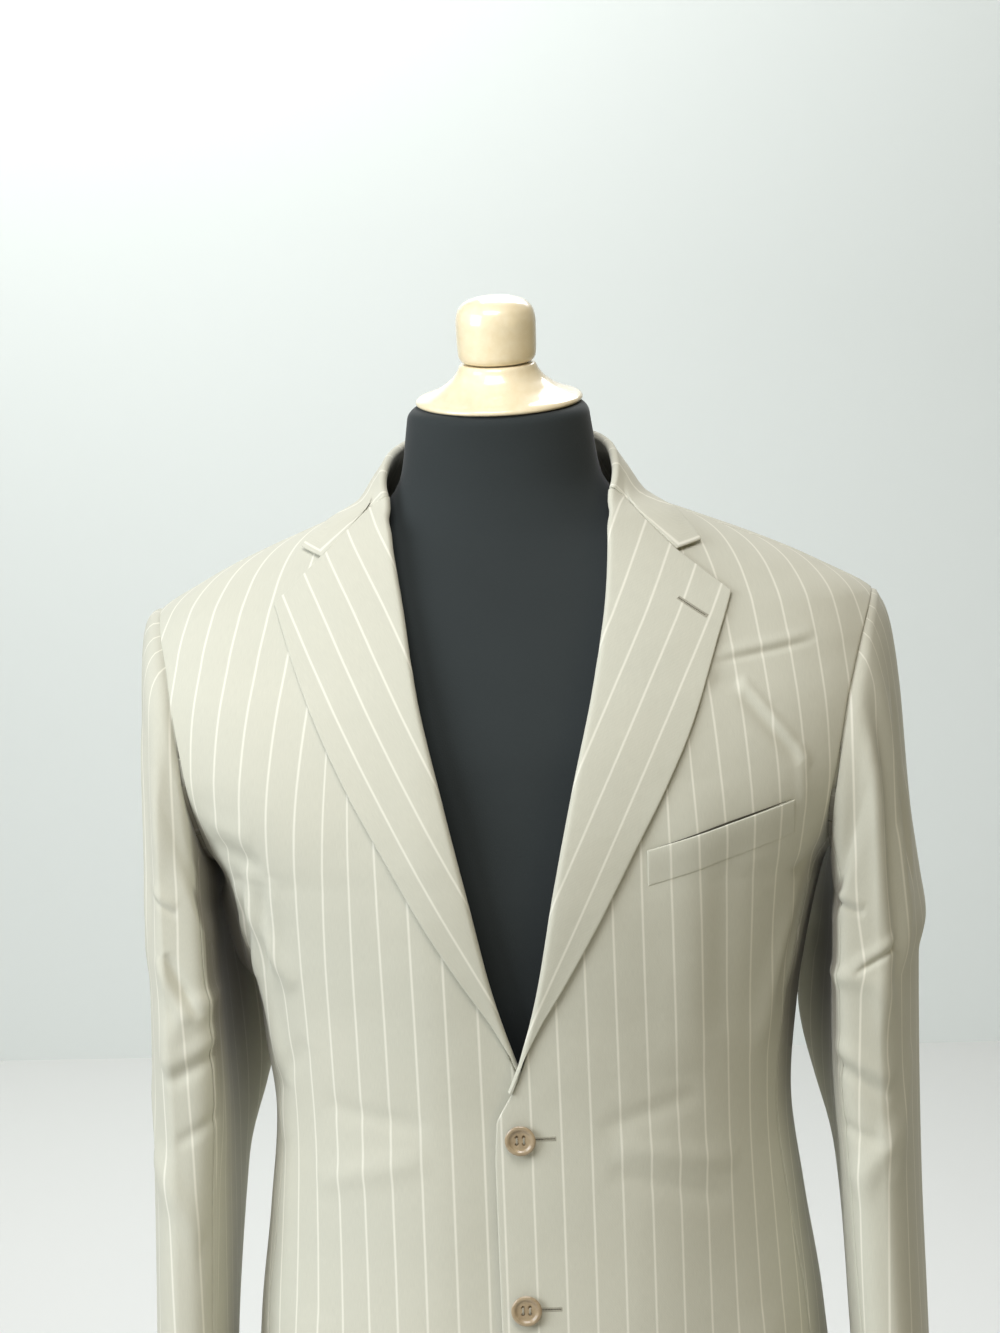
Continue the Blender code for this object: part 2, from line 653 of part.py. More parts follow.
def collar():
    """Its stand, up 0 to 1, its fold, 1 to 2, and its fall, 2 to 3; -1 and 1 are its ends."""
    gorge, _, _ = fold_frame(1.0, COLLAR_BEND)
    notch_x = between(gorge[0], LAPEL_EDGE[-1][1], NOTCH_SHARE)
    notch_height = between(gorge[2], LAPEL_EDGE[-1][0], NOTCH_SHARE)
    gorge_length = math.hypot(notch_x - gorge[0], notch_height - gorge[2])
    corner_length = math.hypot(COLLAR_CORNER[0] - notch_x, COLLAR_CORNER[1] - notch_height)
    notch = gorge_length / (gorge_length + corner_length)
    corner_angle = float(angle_at(COLLAR_CORNER[0], COLLAR_CORNER[1]))

    def skin(across, up):
        side = np.where(across < 0, -1.0, 1.0)
        share = 1 - np.abs(across)
        bend = COLLAR_BEND + 0.0 * share
        start, normal, over = fold_frame(1 + share, bend)
        start_angle, start_height = locate(start)
        seam_angle = between(float(fold_line(1.0)[0]), 180.0, share)
        stand_angle = between(seam_angle, start_angle, np.clip(up, 0, 1))
        seam_height = neck_height(seam_angle) + FOLD_GAP
        stand_height = between(seam_height, start_height, np.clip(up, 0, 1))
        stand, stand_normal = on_body(stand_angle, stand_height, -CLOTH, 1)
        turn = 180 * np.clip(up - 1, 0, 1)
        folded, folded_normal = bent(start, normal, over, bend, turn, CLOTH)
        fall = np.clip(up - 2, 0, 1)
        edge_angle = between(corner_angle, 180.0, share)
        angle = between(start_angle, edge_angle, fall)
        height = between(start_height, read(COLLAR_EDGE, share, 1), fall)
        end_x = np.interp(fall, (0, notch, 1), (gorge[0], notch_x, COLLAR_CORNER[0]))
        end_height = np.interp(fall, (0, notch, 1), (gorge[2], notch_height, COLLAR_CORNER[1]))
        end_angle = angle_at(end_x, end_height)
        straight_angle = between(angle_at(gorge[0], gorge[2]), corner_angle, fall)
        straight_height = between(gorge[2], COLLAR_CORNER[1], fall)
        pull = np.clip(1 - share / NOTCH_REACH, 0, 1) ** 2
        angle = angle + pull * (end_angle - straight_angle)
        height = height + pull * (end_height - straight_height)
        lift = between(2 * COLLAR_BEND - CLOTH, COLLAR_EDGE_LIFT, ease(fall))
        lift = lift + COLLAR_ARCH * 4 * fall * (1 - fall) * (1 - pull)
        flat, flat_normal = on_body(angle, height, lift, 1)
        on_stand = (up < 1)[..., None]
        on_fall = (up > 2)[..., None]
        point = np.where(on_stand, stand, np.where(on_fall, flat, folded))
        face = np.where(on_stand, -stand_normal, np.where(on_fall, flat_normal, folded_normal))
        flip = np.stack([side, np.ones_like(side), np.ones_like(side)], axis=-1)
        return point * flip, face * flip

    front_end = float(fold_line(1.0)[0])
    angles = np.append(np.linspace(180, 90, BACK_COLUMNS + 1), between(90, front_end, shares(4)[1:]))
    half = (180 - angles) / (180 - front_end)
    across = np.append(-half[::-1], half[1:])
    fall = 2 + np.append(np.linspace(0, notch, 4)[1:], (between(notch, 1, 0.5), 1.0))
    up = np.concatenate([(0.0, 0.5), np.linspace(1, 2, 5), fall])
    wall("collar", skin, across, up, COLLAR_CLOTH)


def sleeve_ring(angle, station):
    """The point of a sleeve at an angle, 0 outer, 90 front, 180 inner, of a station."""
    stations = np.arange(len(SLEEVE), dtype=float)
    outer_x, outer_z, inner_x, inner_z, centre_y, depth = (
        smooth_at(station, stations, column(SLEEVE, index)) for index in range(6)
    )
    cosine = np.cos(np.radians(angle))
    sine = np.sin(np.radians(angle))
    x = (outer_x + inner_x) / 2 + cosine * (outer_x - inner_x) / 2
    z = (outer_z + inner_z) / 2 + cosine * (outer_z - inner_z) / 2
    return np.stack([x, centre_y - depth * sine, z], axis=-1)


def armhole_ring(angle):
    """The point of the armhole that meets the sleeve at an angle."""
    bottom = ARMHOLE[0][0]
    height = (SHOULDER_TIP + bottom) / 2 + np.cos(np.radians(angle)) * (SHOULDER_TIP - bottom) / 2
    height = np.clip(height, bottom + 1e-6, SHOULDER_TIP - 1e-6)
    on_front = np.sin(np.radians(angle)) > 0
    body_angle = armhole_angle(height)
    return ring(BODY, np.where(on_front, body_angle, 180 - body_angle), height)


def sleeve_surface(angle, station):
    top = sleeve_ring(angle, 0.0 * station)
    settle = np.clip(1 - station / SLEEVE_SETTLES, 0.0, 1.0)[..., None] ** 2
    point = sleeve_ring(angle, station) + settle * (armhole_ring(angle) - top)
    under = (1 - np.cos(np.radians(angle)))[..., None] / 2
    gap = between(SLEEVE_GAP, UNDERARM_GAP, under)
    return point + settle * gap * np.array([1.0, 0.0, 0.0])


def on_sleeve(angle, station, lift, side):
    angle, station = np.broadcast_arrays(np.asarray(angle, float), np.asarray(station, float))
    normal = outward(sleeve_surface, angle, station, height_step=STATION_STEP)
    folds = fold_lift(SLEEVE_FOLDS, side, angle, station, SLEEVE_DEGREE, SLEEVE_STATION)
    point = sleeve_surface(angle, station) + normal * (lift + folds)[..., None]
    flip = np.array([side, 1.0, 1.0])
    return point * flip, normal * flip


def sleeve(side):
    top_start, top_end = TOP_SLEEVE
    halves = (
        ("sleeve_top_", top_start, top_end, 12),
        ("sleeve_under_", top_end, top_start + 360, 7),
    )
    for name, start, end, columns in halves:
        def skin(share, station, start=start, end=end):
            angle = between(start + SLEEVE_SEAM_TURN, end - SLEEVE_SEAM_TURN, share)
            return on_sleeve(angle, station, 0.0, side)

        wall(name + side_name(side), skin, shares(columns), SLEEVE_ROWS, CLOTH)


def breast_welt():
    (start_x, start_height), (end_x, end_height) = WELT

    def skin(share, up):
        x = between(start_x, end_x, share)
        height = between(start_height, end_height, share) - WELT_HEIGHT * (1 - up)
        return on_body(angle_at(x, height), height, WELT_LIFT, 1)

    wall("breast_welt", skin, shares(6), shares(2), WELT_CLOTH)


def flap(side):
    def skin(share, up):
        return on_body(between(*FLAP_ANGLES, share), between(*FLAP_HEIGHTS, up), FLAP_LIFT, side)

    wall("flap_" + side_name(side), skin, shares(8), shares(3), FLAP_CLOTH)


def button(name, size, point, normal):
    """A plain disc that stands clear of the cloth at a point."""
    radius, thickness = size
    shape = bmesh.new()
    bmesh.ops.create_cone(
        shape, cap_ends=True, segments=12, radius1=radius, radius2=radius, depth=thickness
    )
    made = add_mesh(name, shape, "button_horn")
    made.location = Vector(point) + Vector(normal) * (BUTTON_GAP + thickness / 2)
    made.rotation_euler = Vector(normal).to_track_quat("Z", "Y").to_euler()


def buttons():
    for number, height in enumerate(FRONT_BUTTON_HEIGHTS, 1):
        point, normal = on_body(0.0, height, 0.0, 1)
        button(f"front_button_{number}", FRONT_BUTTON, point, normal)
    for side in (1, -1):
        for number, station in enumerate(CUFF_BUTTON_STATIONS, 1):
            point, normal = on_sleeve(CUFF_BUTTON_ANGLE, station, 0.0, side)
            button(f"cuff_button_{side_name(side)}_{number}", CUFF_BUTTON, point, normal)


def on_leg(angle, height, lift, side):
    angle, height = np.broadcast_arrays(np.asarray(angle, float), np.asarray(height, float))
    normal = outward(lambda a, h: ring(TROUSERS, a, h), angle, height)
    point = ring(TROUSERS, angle, height) + normal * np.asarray(lift)[..., None]
    flip = np.array([side, 1.0, 1.0])
    return point * flip, normal * flip


def centre_seam_angle(height):
    """How far past the front a leg reaches: to the centre above the fork, else the inseam."""
    to_centre = angle_at(read(TROUSERS, height, 5) - SEAM, height, TROUSERS)
    return np.where(height > FORK, to_centre, 90.0 - SEAM_TURN * 2)


def trousers(side):
    def front(share, height):
        angle = between(-centre_seam_angle(height), 90.0 - SEAM_TURN * 2, share)
        return on_leg(angle, height, 0.0, side)

    def back(share, height):
        angle = between(90.0 + SEAM_TURN * 2, 180 + centre_seam_angle(height), share)
        return on_leg(angle, height, 0.0, side)

    wall("trouser_front_" + side_name(side), front, shares(6), TROUSER_ROWS, CLOTH)
    wall("trouser_back_" + side_name(side), back, shares(6), TROUSER_ROWS, CLOTH)


def waistband():
    def skin(share, height):
        return on_leg(between(*WAISTBAND_ENDS, share), height, WAISTBAND_LIFT, 1)

    heights = (WAIST_SEAM + SEAM, WAIST_TOP)
    wall("waistband", skin, shares(32), heights, WAISTBAND_CLOTH)


def fly():
    start_x, end_x, bottom, top = FLY

    def skin(share, up):
        height = between(bottom, top, up)
        x = between(start_x, end_x * ease(FLY_NARROWS + up), share)
        return on_leg(angle_at(x, height, TROUSERS), height, FLY_LIFT, 1)

    wall("fly", skin, shares(2), shares(5), FLY_CLOTH)


def dress_form():
    """A closed torso through level sections; the neck's top leans forward with its cap."""
    shape = bmesh.new()
    rows = len(FORM_ROWS) - 1
    bmesh.ops.create_grid(shape, x_segments=FORM_COLUMNS, y_segments=rows, size=0.5)
    for vertex in shape.verts:
        angle = 360 * (vertex.co.x + 0.5)
        height = FORM_ROWS[round((vertex.co.y + 0.5) * rows)]
        point = ring(FORM, angle, height)
        lean = ease((height - NECK_BEND) / (NECK_TOP - NECK_BEND))
        point[2] += lean * math.tan(NECK_TILT) * (point[1] - NECK_CENTRE)
        vertex.co = leaning(point)
    bmesh.ops.remove_doubles(shape, verts=shape.verts, dist=0.00001)
    rims = [edge for edge in shape.edges if edge.is_boundary]
    bmesh.ops.holes_fill(shape, edges=rims, sides=0)
    face_outwards(shape)
    add_mesh("form_torso", shape, "form_jersey")


def turned(name, profile, steps, material):
    """A shape turned about Z from a profile that runs down its outer side."""
    shape = bmesh.new()
    vertices = [shape.verts.new((radius, 0.0, height)) for height, radius in profile]
    for upper, lower in zip(vertices, vertices[1:]):
        shape.edges.new((upper, lower))
    made = add_mesh(name, shape, material)
    screw = made.modifiers.new("turn", "SCREW")
    screw.steps = steps
    screw.render_steps = steps
    screw.use_merge_vertices = True
    screw.merge_threshold = 0.00001
    screw.use_smooth_shade = True
    return made


def neck_fittings():
    for name, profile, steps in (("neck_cap", NECK_CAP, 24), ("neck_knob", NECK_KNOB, 16)):
        made = turned(name, profile, steps, "varnished_wood")
        made.location = (NECK_LEAN[2], NECK_CENTRE, NECK_TOP)
        made.rotation_euler = (NECK_TILT, 0.0, 0.0)


def stand():
    turned("stand_base", BASE, 32, "varnished_wood")
    path = bpy.data.curves.new("stand_pole", "CURVE")
    path.dimensions = "3D"
    path.bevel_depth = POLE_RADIUS
    path.bevel_resolution = 4
    path.use_fill_caps = True
    line = path.splines.new("POLY")
    line.points.add(1)
    line.points[0].co = (POLE_X, 0.0, BASE_TOP + SEAM, 1.0)
    line.points[1].co = (POLE_X, 0.0, FORM_BOTTOM - SEAM, 1.0)
    add_object("stand_pole", path, "stand_steel")


def main():
    for item in list(bpy.data.objects):
        bpy.data.objects.remove(item)
    collection = bpy.data.collections.new("two_piece_suit")
    bpy.context.scene.collection.children.link(collection)
    for name in COLOURS:
        make_material(name)
    for side in (1, -1):
        jacket_front(side)
        jacket_side(side)
        jacket_back(side)
        lapel(side)
        sleeve(side)
        flap(side)
        trousers(side)
    collar()
    breast_welt()
    buttons()
    waistband()
    fly()
    dress_form()
    neck_fittings()
    stand()


main()
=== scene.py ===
"""The looks of a two-piece suit on its dress form: cloth, buttons, stitching, wood and light.

Metres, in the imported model's own frame: +Z up, the front faces -Y, +X is the wearer's left. Each
cloth piece is a fine wall on the same surface as the solid that it stands for, with its soft folds
and creases. On a level section an angle of 0 is the front, 90 the wearer's left and 180 the back.
"""

import json
import math
from functools import partial

import bmesh
import bpy
import numpy as np
from mathutils import Matrix, Vector

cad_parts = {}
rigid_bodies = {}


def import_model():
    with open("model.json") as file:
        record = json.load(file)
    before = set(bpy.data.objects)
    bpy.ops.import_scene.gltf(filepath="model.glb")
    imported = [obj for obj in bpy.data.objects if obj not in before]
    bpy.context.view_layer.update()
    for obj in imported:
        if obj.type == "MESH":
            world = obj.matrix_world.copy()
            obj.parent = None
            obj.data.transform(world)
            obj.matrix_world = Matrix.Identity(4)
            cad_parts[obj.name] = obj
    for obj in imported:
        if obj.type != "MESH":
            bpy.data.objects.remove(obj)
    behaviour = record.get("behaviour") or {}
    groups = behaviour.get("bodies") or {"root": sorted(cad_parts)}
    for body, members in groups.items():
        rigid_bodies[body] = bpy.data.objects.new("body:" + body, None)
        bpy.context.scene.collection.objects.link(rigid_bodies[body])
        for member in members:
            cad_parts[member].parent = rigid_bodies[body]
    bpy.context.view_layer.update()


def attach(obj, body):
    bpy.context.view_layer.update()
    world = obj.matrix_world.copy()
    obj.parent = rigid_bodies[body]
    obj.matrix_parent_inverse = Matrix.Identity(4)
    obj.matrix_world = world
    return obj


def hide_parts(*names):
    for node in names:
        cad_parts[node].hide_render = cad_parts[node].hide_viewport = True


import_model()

# Walls and gaps
SEAM = 0.0003
CLOTH = 0.0020
LAPEL_CLOTH = 0.0014
COLLAR_CLOTH = 0.0016
WAISTBAND_CLOTH = 0.0030
WAISTBAND_LIFT = 0.0005
WAISTBAND_ENDS = (0.1, 359.9)

# Jacket body, level sections of its outer face
BODY = (
    # height, half width, front, back, squareness
    (0.760, 0.2000, 0.150, 0.142, 2.30),
    (0.860, 0.1990, 0.146, 0.140, 2.30),
    (0.960, 0.1920, 0.139, 0.129, 2.30),
    (1.040, 0.1810, 0.133, 0.114, 2.30),
    (1.110, 0.1740, 0.132, 0.104, 2.30),
    (1.176, 0.1800, 0.137, 0.107, 2.30),
    (1.230, 0.1900, 0.143, 0.113, 2.35),
    (1.275, 0.2030, 0.146, 0.118, 2.40),
    (1.290, 0.2130, 0.146, 0.119, 2.40),
    (1.310, 0.2260, 0.145, 0.121, 2.40),
    (1.350, 0.2520, 0.139, 0.120, 2.30),
    (1.390, 0.2620, 0.127, 0.117, 2.20),
    (1.420, 0.2560, 0.113, 0.112, 2.10),
    (1.446, 0.2360, 0.098, 0.106, 2.10),
    (1.465, 0.2020, 0.085, 0.100, 2.10),
    (1.485, 0.1580, 0.072, 0.093, 2.05),
    (1.500, 0.1220, 0.063, 0.088, 2.00),
    (1.512, 0.0920, 0.055, 0.082, 2.00),
    (1.525, 0.0815, 0.050, 0.0795, 2.00),
    (1.541, 0.0735, 0.052, 0.0800, 2.00),
    (1.556, 0.0710, 0.052, 0.0820, 2.00),
)
SHOULDER_TIP = 1.446
NECK_POINT = 1.512
NECK_BACK = 1.522
UNDERARM_TOP = 1.300

# Armhole seam: how far out it lies at each height
ARMHOLE = (
    # height, x
    (1.275, 0.2030),
    (1.290, 0.2060),
    (1.310, 0.2095),
    (1.350, 0.2180),
    (1.390, 0.2250),
    (1.420, 0.2300),
    (1.446, 0.2360),
)
ARMHOLE_WIDEST = 1.360
FRONT_SEAM_ANGLE = 70.0
BACK_SEAM_ANGLE = 115.0
SEAM_TURN = 0.06
SHOULDER_SEAM_TURN = 0.12

# Front edge of either front below its lapel, on the wearer's left; the right one mirrors it
FRONT_EDGE = (
    # height, x
    (0.7600, 0.0980),
    (0.7610, 0.0870),
    (0.7640, 0.0730),
    (0.7690, 0.0600),
    (0.7850, 0.0395),
    (0.820, 0.0210),
    (0.870, 0.0030),
    (0.930, -0.0100),
    (0.985, -0.0165),
    (1.040, -0.0170),
    (1.095, -0.0170),
    (1.125, -0.0150),
)
LEFT_LIES_OVER = 0.0010
RIGHT_LIES_UNDER = 0.0050
OVERLAP_REACH = 0.060

# Fold of the lapel, from the break to the gorge, then of the collar, to the centre back
ROLL_LINE = (
    # height, x
    (1.130, -0.0135),
    (1.165, 0.0010),
    (1.210, 0.0141),
    (1.274, 0.0270),
    (1.343, 0.0421),
    (1.398, 0.0550),
    (1.438, 0.0622),
    (1.483, 0.0687),
    (1.520, 0.0723),
)
COLLAR_FOLD = (
    # angle, height
    (75.0, 1.5320),
    (90.0, 1.5410),
    (120.0, 1.5500),
    (150.0, 1.5545),
    (180.0, 1.5560),
)
LAPEL_FOOT = 1.145
LAPEL_EDGE = (
    # height, x
    (1.130, -0.0120),
    (1.165, 0.0035),
    (1.190, 0.0165),
    (1.213, 0.0308),
    (1.255, 0.0550),
    (1.302, 0.0800),
    (1.341, 0.1010),
    (1.395, 0.1264),
    (1.4285, 0.1400),
    (1.4556, 0.1500),
)
LAPEL_BEND = (
    # share of the way up, radius of the fold
    (0.00, 0.0021),
    (0.45, 0.0034),
    (1.00, 0.0030),
)
COLLAR_BEND = 0.0030
FOLD_GAP = 0.0009
LAPEL_EDGE_LIFT = 0.0029
COLLAR_EDGE_LIFT = 0.0036
COLLAR_ARCH = 0.0022
NOTCH_SHARE = 0.56
COLLAR_CORNER = (0.1305, 1.488)
COLLAR_EDGE = (
    # share of the way from the corner to the centre back, height
    (0.00, 1.488),
    (0.09, 1.499),
    (0.25, 1.508),
    (0.50, 1.513),
    (1.00, 1.515),
)
NOTCH_REACH = 0.35
GORGE_GAP = 0.0012

# Sleeve, from the armhole to the cuff
SLEEVE = (
    # outer x, outer height, inner x, inner height, centre y, half depth
    (0.2360, 1.4460, 0.2030, 1.2750, 0.000, 0.078),
    (0.2490, 1.4385, 0.2050, 1.2605, 0.000, 0.084),
    (0.2555, 1.4160, 0.2060, 1.2485, 0.000, 0.087),
    (0.2580, 1.3700, 0.2072, 1.2345, 0.000, 0.089),
    (0.2585, 1.3000, 0.2076, 1.2185, 0.000, 0.089),
    (0.2595, 1.2100, 0.2066, 1.1935, 0.000, 0.088),
    (0.2595, 1.1200, 0.2050, 1.1150, 0.000, 0.085),
    (0.2600, 1.0500, 0.2060, 1.0500, -0.005, 0.082),
    (0.2620, 0.9300, 0.2105, 0.9300, -0.020, 0.076),
    (0.2630, 0.8250, 0.2150, 0.8250, -0.038, 0.071),
)
SLEEVE_GAP = 0.0001
UNDERARM_GAP = 0.0010
SLEEVE_SETTLES = 2.0
TOP_SLEEVE = (-105.0, 131.0)
SLEEVE_SEAM_TURN = 0.15
# Soft folds of the solids: where each starts and ends, its half width and its lift
BODY_FOLDS = (
    # side, angle, height, angle, height, half width, lift
    (-1, 62.0, 1.275, 50.0, 1.205, 0.012, 0.0035),
    (-1, 68.0, 1.250, 64.0, 1.130, 0.013, 0.0040),
    (1, 66.0, 1.270, 58.0, 1.150, 0.014, 0.0030),
    (-1, 112.0, 1.270, 128.0, 1.150, 0.016, 0.0035),
    (1, 112.0, 1.270, 128.0, 1.150, 0.016, 0.0035),
)
SLEEVE_FOLDS = (
    # side, angle, station, angle, station, half width, lift
    (1, 150.0, 4.6, 60.0, 5.3, 0.013, 0.0030),
    (1, 60.0, 6.2, 130.0, 6.9, 0.014, 0.0030),
    (-1, 150.0, 4.8, 70.0, 5.6, 0.013, 0.0030),
    (-1, 50.0, 6.4, 120.0, 7.2, 0.014, 0.0030),
)
BODY_DEGREE = 0.0031
SLEEVE_DEGREE = 0.0011
SLEEVE_STATION = 0.080

# What lies on the jacket
WELT = (
    # x, height of its upper edge, at either end
    (0.0876, 1.302),
    (0.1807, 1.3263),
)
WELT_HEIGHT = 0.0235
WELT_CLOTH = 0.0012
WELT_LIFT = 0.0018
FLAP_ANGLES = (21.5, 73.0)
FLAP_HEIGHTS = (0.890, 0.945)
FLAP_CLOTH = 0.0014
FLAP_LIFT = 0.0022
FRONT_BUTTON_HEIGHTS = (1.113, 1.000)
FRONT_BUTTON = (0.0100, 0.0032)
CUFF_BUTTON_STATIONS = (8.55, 8.71, 8.87)
CUFF_BUTTON_ANGLE = -56.0
CUFF_BUTTON = (0.0075, 0.0028)
BUTTON_GAP = 0.0012

# Trouser leg, level sections of its outer face
TROUSERS = (
    # height, half width, front, back, squareness, centre x
    (0.045, 0.0520, 0.084, 0.090, 1.75, 0.0960),
    (0.200, 0.0560, 0.087, 0.092, 1.75, 0.0970),
    (0.500, 0.0680, 0.094, 0.098, 1.85, 0.0980),
    (0.650, 0.0790, 0.101, 0.107, 1.95, 0.0960),
    (0.750, 0.0860, 0.108, 0.115, 2.05, 0.0940),
    (0.780, 0.0885, 0.110, 0.118, 2.10, 0.0927),
    (0.800, 0.0925, 0.112, 0.120, 2.15, 0.0925),
    (0.825, 0.1110, 0.114, 0.122, 2.15, 0.0750),
    (0.850, 0.1340, 0.116, 0.123, 2.15, 0.0520),
    (0.875, 0.1570, 0.118, 0.123, 2.20, 0.0300),
    (0.900, 0.1740, 0.120, 0.122, 2.20, 0.0120),
    (0.960, 0.1800, 0.124, 0.118, 2.20, 0.0000),
    (1.040, 0.1680, 0.118, 0.103, 2.20, 0.0000),
    (1.062, 0.1620, 0.115, 0.096, 2.20, 0.0000),
    (1.100, 0.1570, 0.112, 0.092, 2.20, 0.0000),
)
FORK = 0.800
WAIST_SEAM = 1.062
WAIST_TOP = 1.100
FLY = (0.0010, 0.0340, 0.915, 1.060)
FLY_NARROWS = 0.35
FLY_CLOTH = 0.0012
FLY_LIFT = 0.0020

# Dress form
FORM = (
    # height, half width, front, back, squareness
    (0.875, 0.1600, 0.106, 0.104, 2.20),
    (0.900, 0.1660, 0.110, 0.108, 2.20),
    (0.960, 0.1660, 0.112, 0.104, 2.20),
    (1.040, 0.1550, 0.107, 0.090, 2.15),
    (1.100, 0.1470, 0.102, 0.081, 2.10),
    (1.200, 0.1650, 0.120, 0.096, 2.10),
    (1.275, 0.1800, 0.130, 0.106, 2.10),
    (1.350, 0.2000, 0.124, 0.108, 2.10),
    (1.400, 0.2050, 0.109, 0.101, 2.05),
    (1.430, 0.1980, 0.096, 0.096, 2.00),
    (1.455, 0.1740, 0.082, 0.090, 2.00),
    (1.480, 0.1280, 0.064, 0.082, 2.00),
    (1.500, 0.0900, 0.052, 0.076, 2.00),
    (1.530, 0.0660, 0.044, 0.072, 2.00),
    (1.560, 0.0615, 0.042, 0.070, 2.00),
    (1.575, 0.0595, 0.042, 0.070, 2.00),
)
FORM_BOTTOM = 0.875
NECK_TOP = 1.575
NECK_BEND = 1.530
NECK_CENTRE = 0.014
NECK_TILT = math.radians(5.5)
NECK_LEAN = (1.440, 1.530, -0.0060)
NECK_CAP = (
    # height above the neck, radius
    (0.0270, 0.0000),
    (0.0270, 0.0253),
    (0.0230, 0.0262),
    (0.0170, 0.0305),
    (0.0105, 0.0390),
    (0.0065, 0.0480),
    (0.0045, 0.0545),
    (0.0036, 0.0558),
    (0.0020, 0.0560),
    (0.0006, 0.0556),
    (0.0006, 0.0000),
)
NECK_KNOB = (
    # height above the neck, radius
    (0.0710, 0.0000),
    (0.0705, 0.0120),
    (0.0680, 0.0200),
    (0.0630, 0.0250),
    (0.0560, 0.0266),
    (0.0400, 0.0263),
    (0.0310, 0.0258),
    (0.0276, 0.0235),
    (0.0273, 0.0000),
)
BASE = (
    # height, radius
    (0.0250, 0.0000),
    (0.0250, 0.1780),
    (0.0238, 0.1840),
    (0.0200, 0.1885),
    (0.0150, 0.1900),
    (0.0040, 0.1900),
    (0.0000, 0.1870),
    (0.0000, 0.0000),
)
BASE_TOP = 0.0250
POLE_RADIUS = 0.0130
POLE_X = 0.0900

# Fine meshes: how far apart the rows and columns of a wall stand
GRID = 0.0032
SLEEVE_GRID = 0.0030
LEG_GRID = 0.0075
EDGE_GRID = 0.0026
BACK_GRID = 0.0037
PLAIN_GRID = 0.0045
# Where the sharpest creases lie, and the grid is finer
FINE_CHEST_SHARE = (0.50, 0.86)
FINE_CHEST_HEIGHT = (1.335, 1.435)
FINE_CHEST_PARTS = (2, 3)
FINE_SLEEVE_SHARE = (0.78, 1.0)
FINE_SLEEVE_STATION = (3.9, 5.1)
FINE_SLEEVE_PARTS = 2
# Rough sizes of the pieces, which set how many columns and rows they get
ROUGH_WIDTH = {
    "front": 0.240,
    "side": 0.120,
    "back": 0.200,
    "lapel": 0.080,
    "sleeve_top_": 0.230,
    "sleeve_under_": 0.150,
    "flap": 0.150,
    "leg": 0.250,
    "waistband": 0.850,
    "fly": 0.034,
}
LAPEL_LENGTH = 0.340
FLY_LENGTH = 0.145
COLLAR_STAND = 0.030
COLLAR_END = 0.020
ROW_DENSITY = 1.3
FOLD_COLUMNS = 15
COLLAR_FOLD_ROWS = 13
NOTCH_ROWS = 9
# Rows at a wall's edge, where it is rounded: how far in, and the share of its thickness
RIM = np.array([0.0, 0.0003, 0.0007, 0.0012])
RIM_ROWS = len(RIM) - 1
ROUNDING = 0.0012
ROUNDED = 0.42
# Fineness of what is measured along a curve or across a surface
LINE_SAMPLES = 400
FOLD_SAMPLES = 40
EDGE_SAMPLES = 60
ARC_SAMPLES = 161
SLEEVE_ARC_SAMPLES = 91
SLEEVE_CUT_SAMPLES = 741
ANGLE_STEP = 0.05
HEIGHT_STEP = 0.0002
STATION_STEP = 0.002
PLACE_STEP = 0.001
JUST_INSIDE = 1e-6

# Pinstripes: every piece's cut coordinates put them at whole steps of the pitch
STRIPE_PITCH = 0.0200
FRONT_STRIPES = {
    # side: first stripe from the centre front, distance between stripes, height of the swing
    1: (0.0650, 0.01925, 1.240),
    -1: (0.0450, 0.02070, 1.180),
}
STRIPE_SWING = 0.45
SWING_REACH = (0.080, 0.130)
LAPEL_STRIPES = {
    # side: x and height of a point of the outermost stripe, its lean, distance between stripes
    1: (0.0962, 1.370, 0.479, 0.0190),
    -1: (0.0945, 1.363, 0.510, 0.0190),
}
SLEEVE_STRIPE = {1: 0.1075, -1: 0.1030}
# Above the biceps the sleeve's stripes stay upright: the station, and how softly that starts
BICEPS_STATION = 3.5
BICEPS_BLEND = 0.6
# Angles round the body and round a sleeve that are measured
BODY_ROUND = (-90.0, 271.0)
SLEEVE_ROUND = (-110.0, 260.0)
# Where round a sleeve its upright stripes are read from the next side, and over how much
TO_FRONT = 20.0
TO_INNER = 110.0
TO_INNER_BACK = 200.0
TURN_BLEND = 50.0
LEVEL = np.array([1.0, 1.0, 0.0])
PLAIN_PITCH = 0.0193
CREASE_X = 0.0960

# Where the worn cloth leaves the even solids
ARMHOLE_SHIFT = {
    # side: height, how far the front's armhole seam moves out
    1: (
        (1.275, 0.0000), (1.300, -0.0050), (1.330, -0.0075),
        (1.380, -0.0070), (1.420, -0.0030), (1.446, 0.0000),
    ),
    -1: (
        (1.275, 0.0000), (1.320, -0.0010), (1.360, -0.0030),
        (1.400, -0.0030), (1.430, -0.0010), (1.446, 0.0000),
    ),
}
SLEEVE_SQUARENESS = (
    # station, of the outer front, of the inner front, of the back
    (0.0, 2.00, 2.00, 2.00),
    (0.5, 1.85, 3.40, 2.00),
    (1.0, 1.75, 5.00, 2.00),
    (2.0, 1.62, 6.50, 2.10),
    (3.0, 1.60, 7.00, 2.15),
    (4.8, 1.65, 6.50, 2.20),
    (6.0, 1.80, 4.00, 2.20),
    (9.0, 2.20, 2.40, 2.20),
)
SLEEVE_HANG = {
    # side: station, how far the outer half moves out
    1: (
        (0.0, -0.0020), (1.0, -0.0080), (2.0, -0.0070), (3.0, -0.0040), (4.0, 0.0000),
        (4.5, 0.0045), (4.8, 0.0075), (5.1, 0.0020), (6.0, 0.0005), (9.0, 0.0000),
    ),
    -1: (
        (0.0, -0.0020), (1.0, -0.0035), (2.0, -0.0060), (3.0, -0.0070), (4.0, -0.0060),
        (4.5, -0.0035), (4.8, -0.0020), (5.1, -0.0040), (6.0, -0.0010), (9.0, 0.0000),
    ),
}
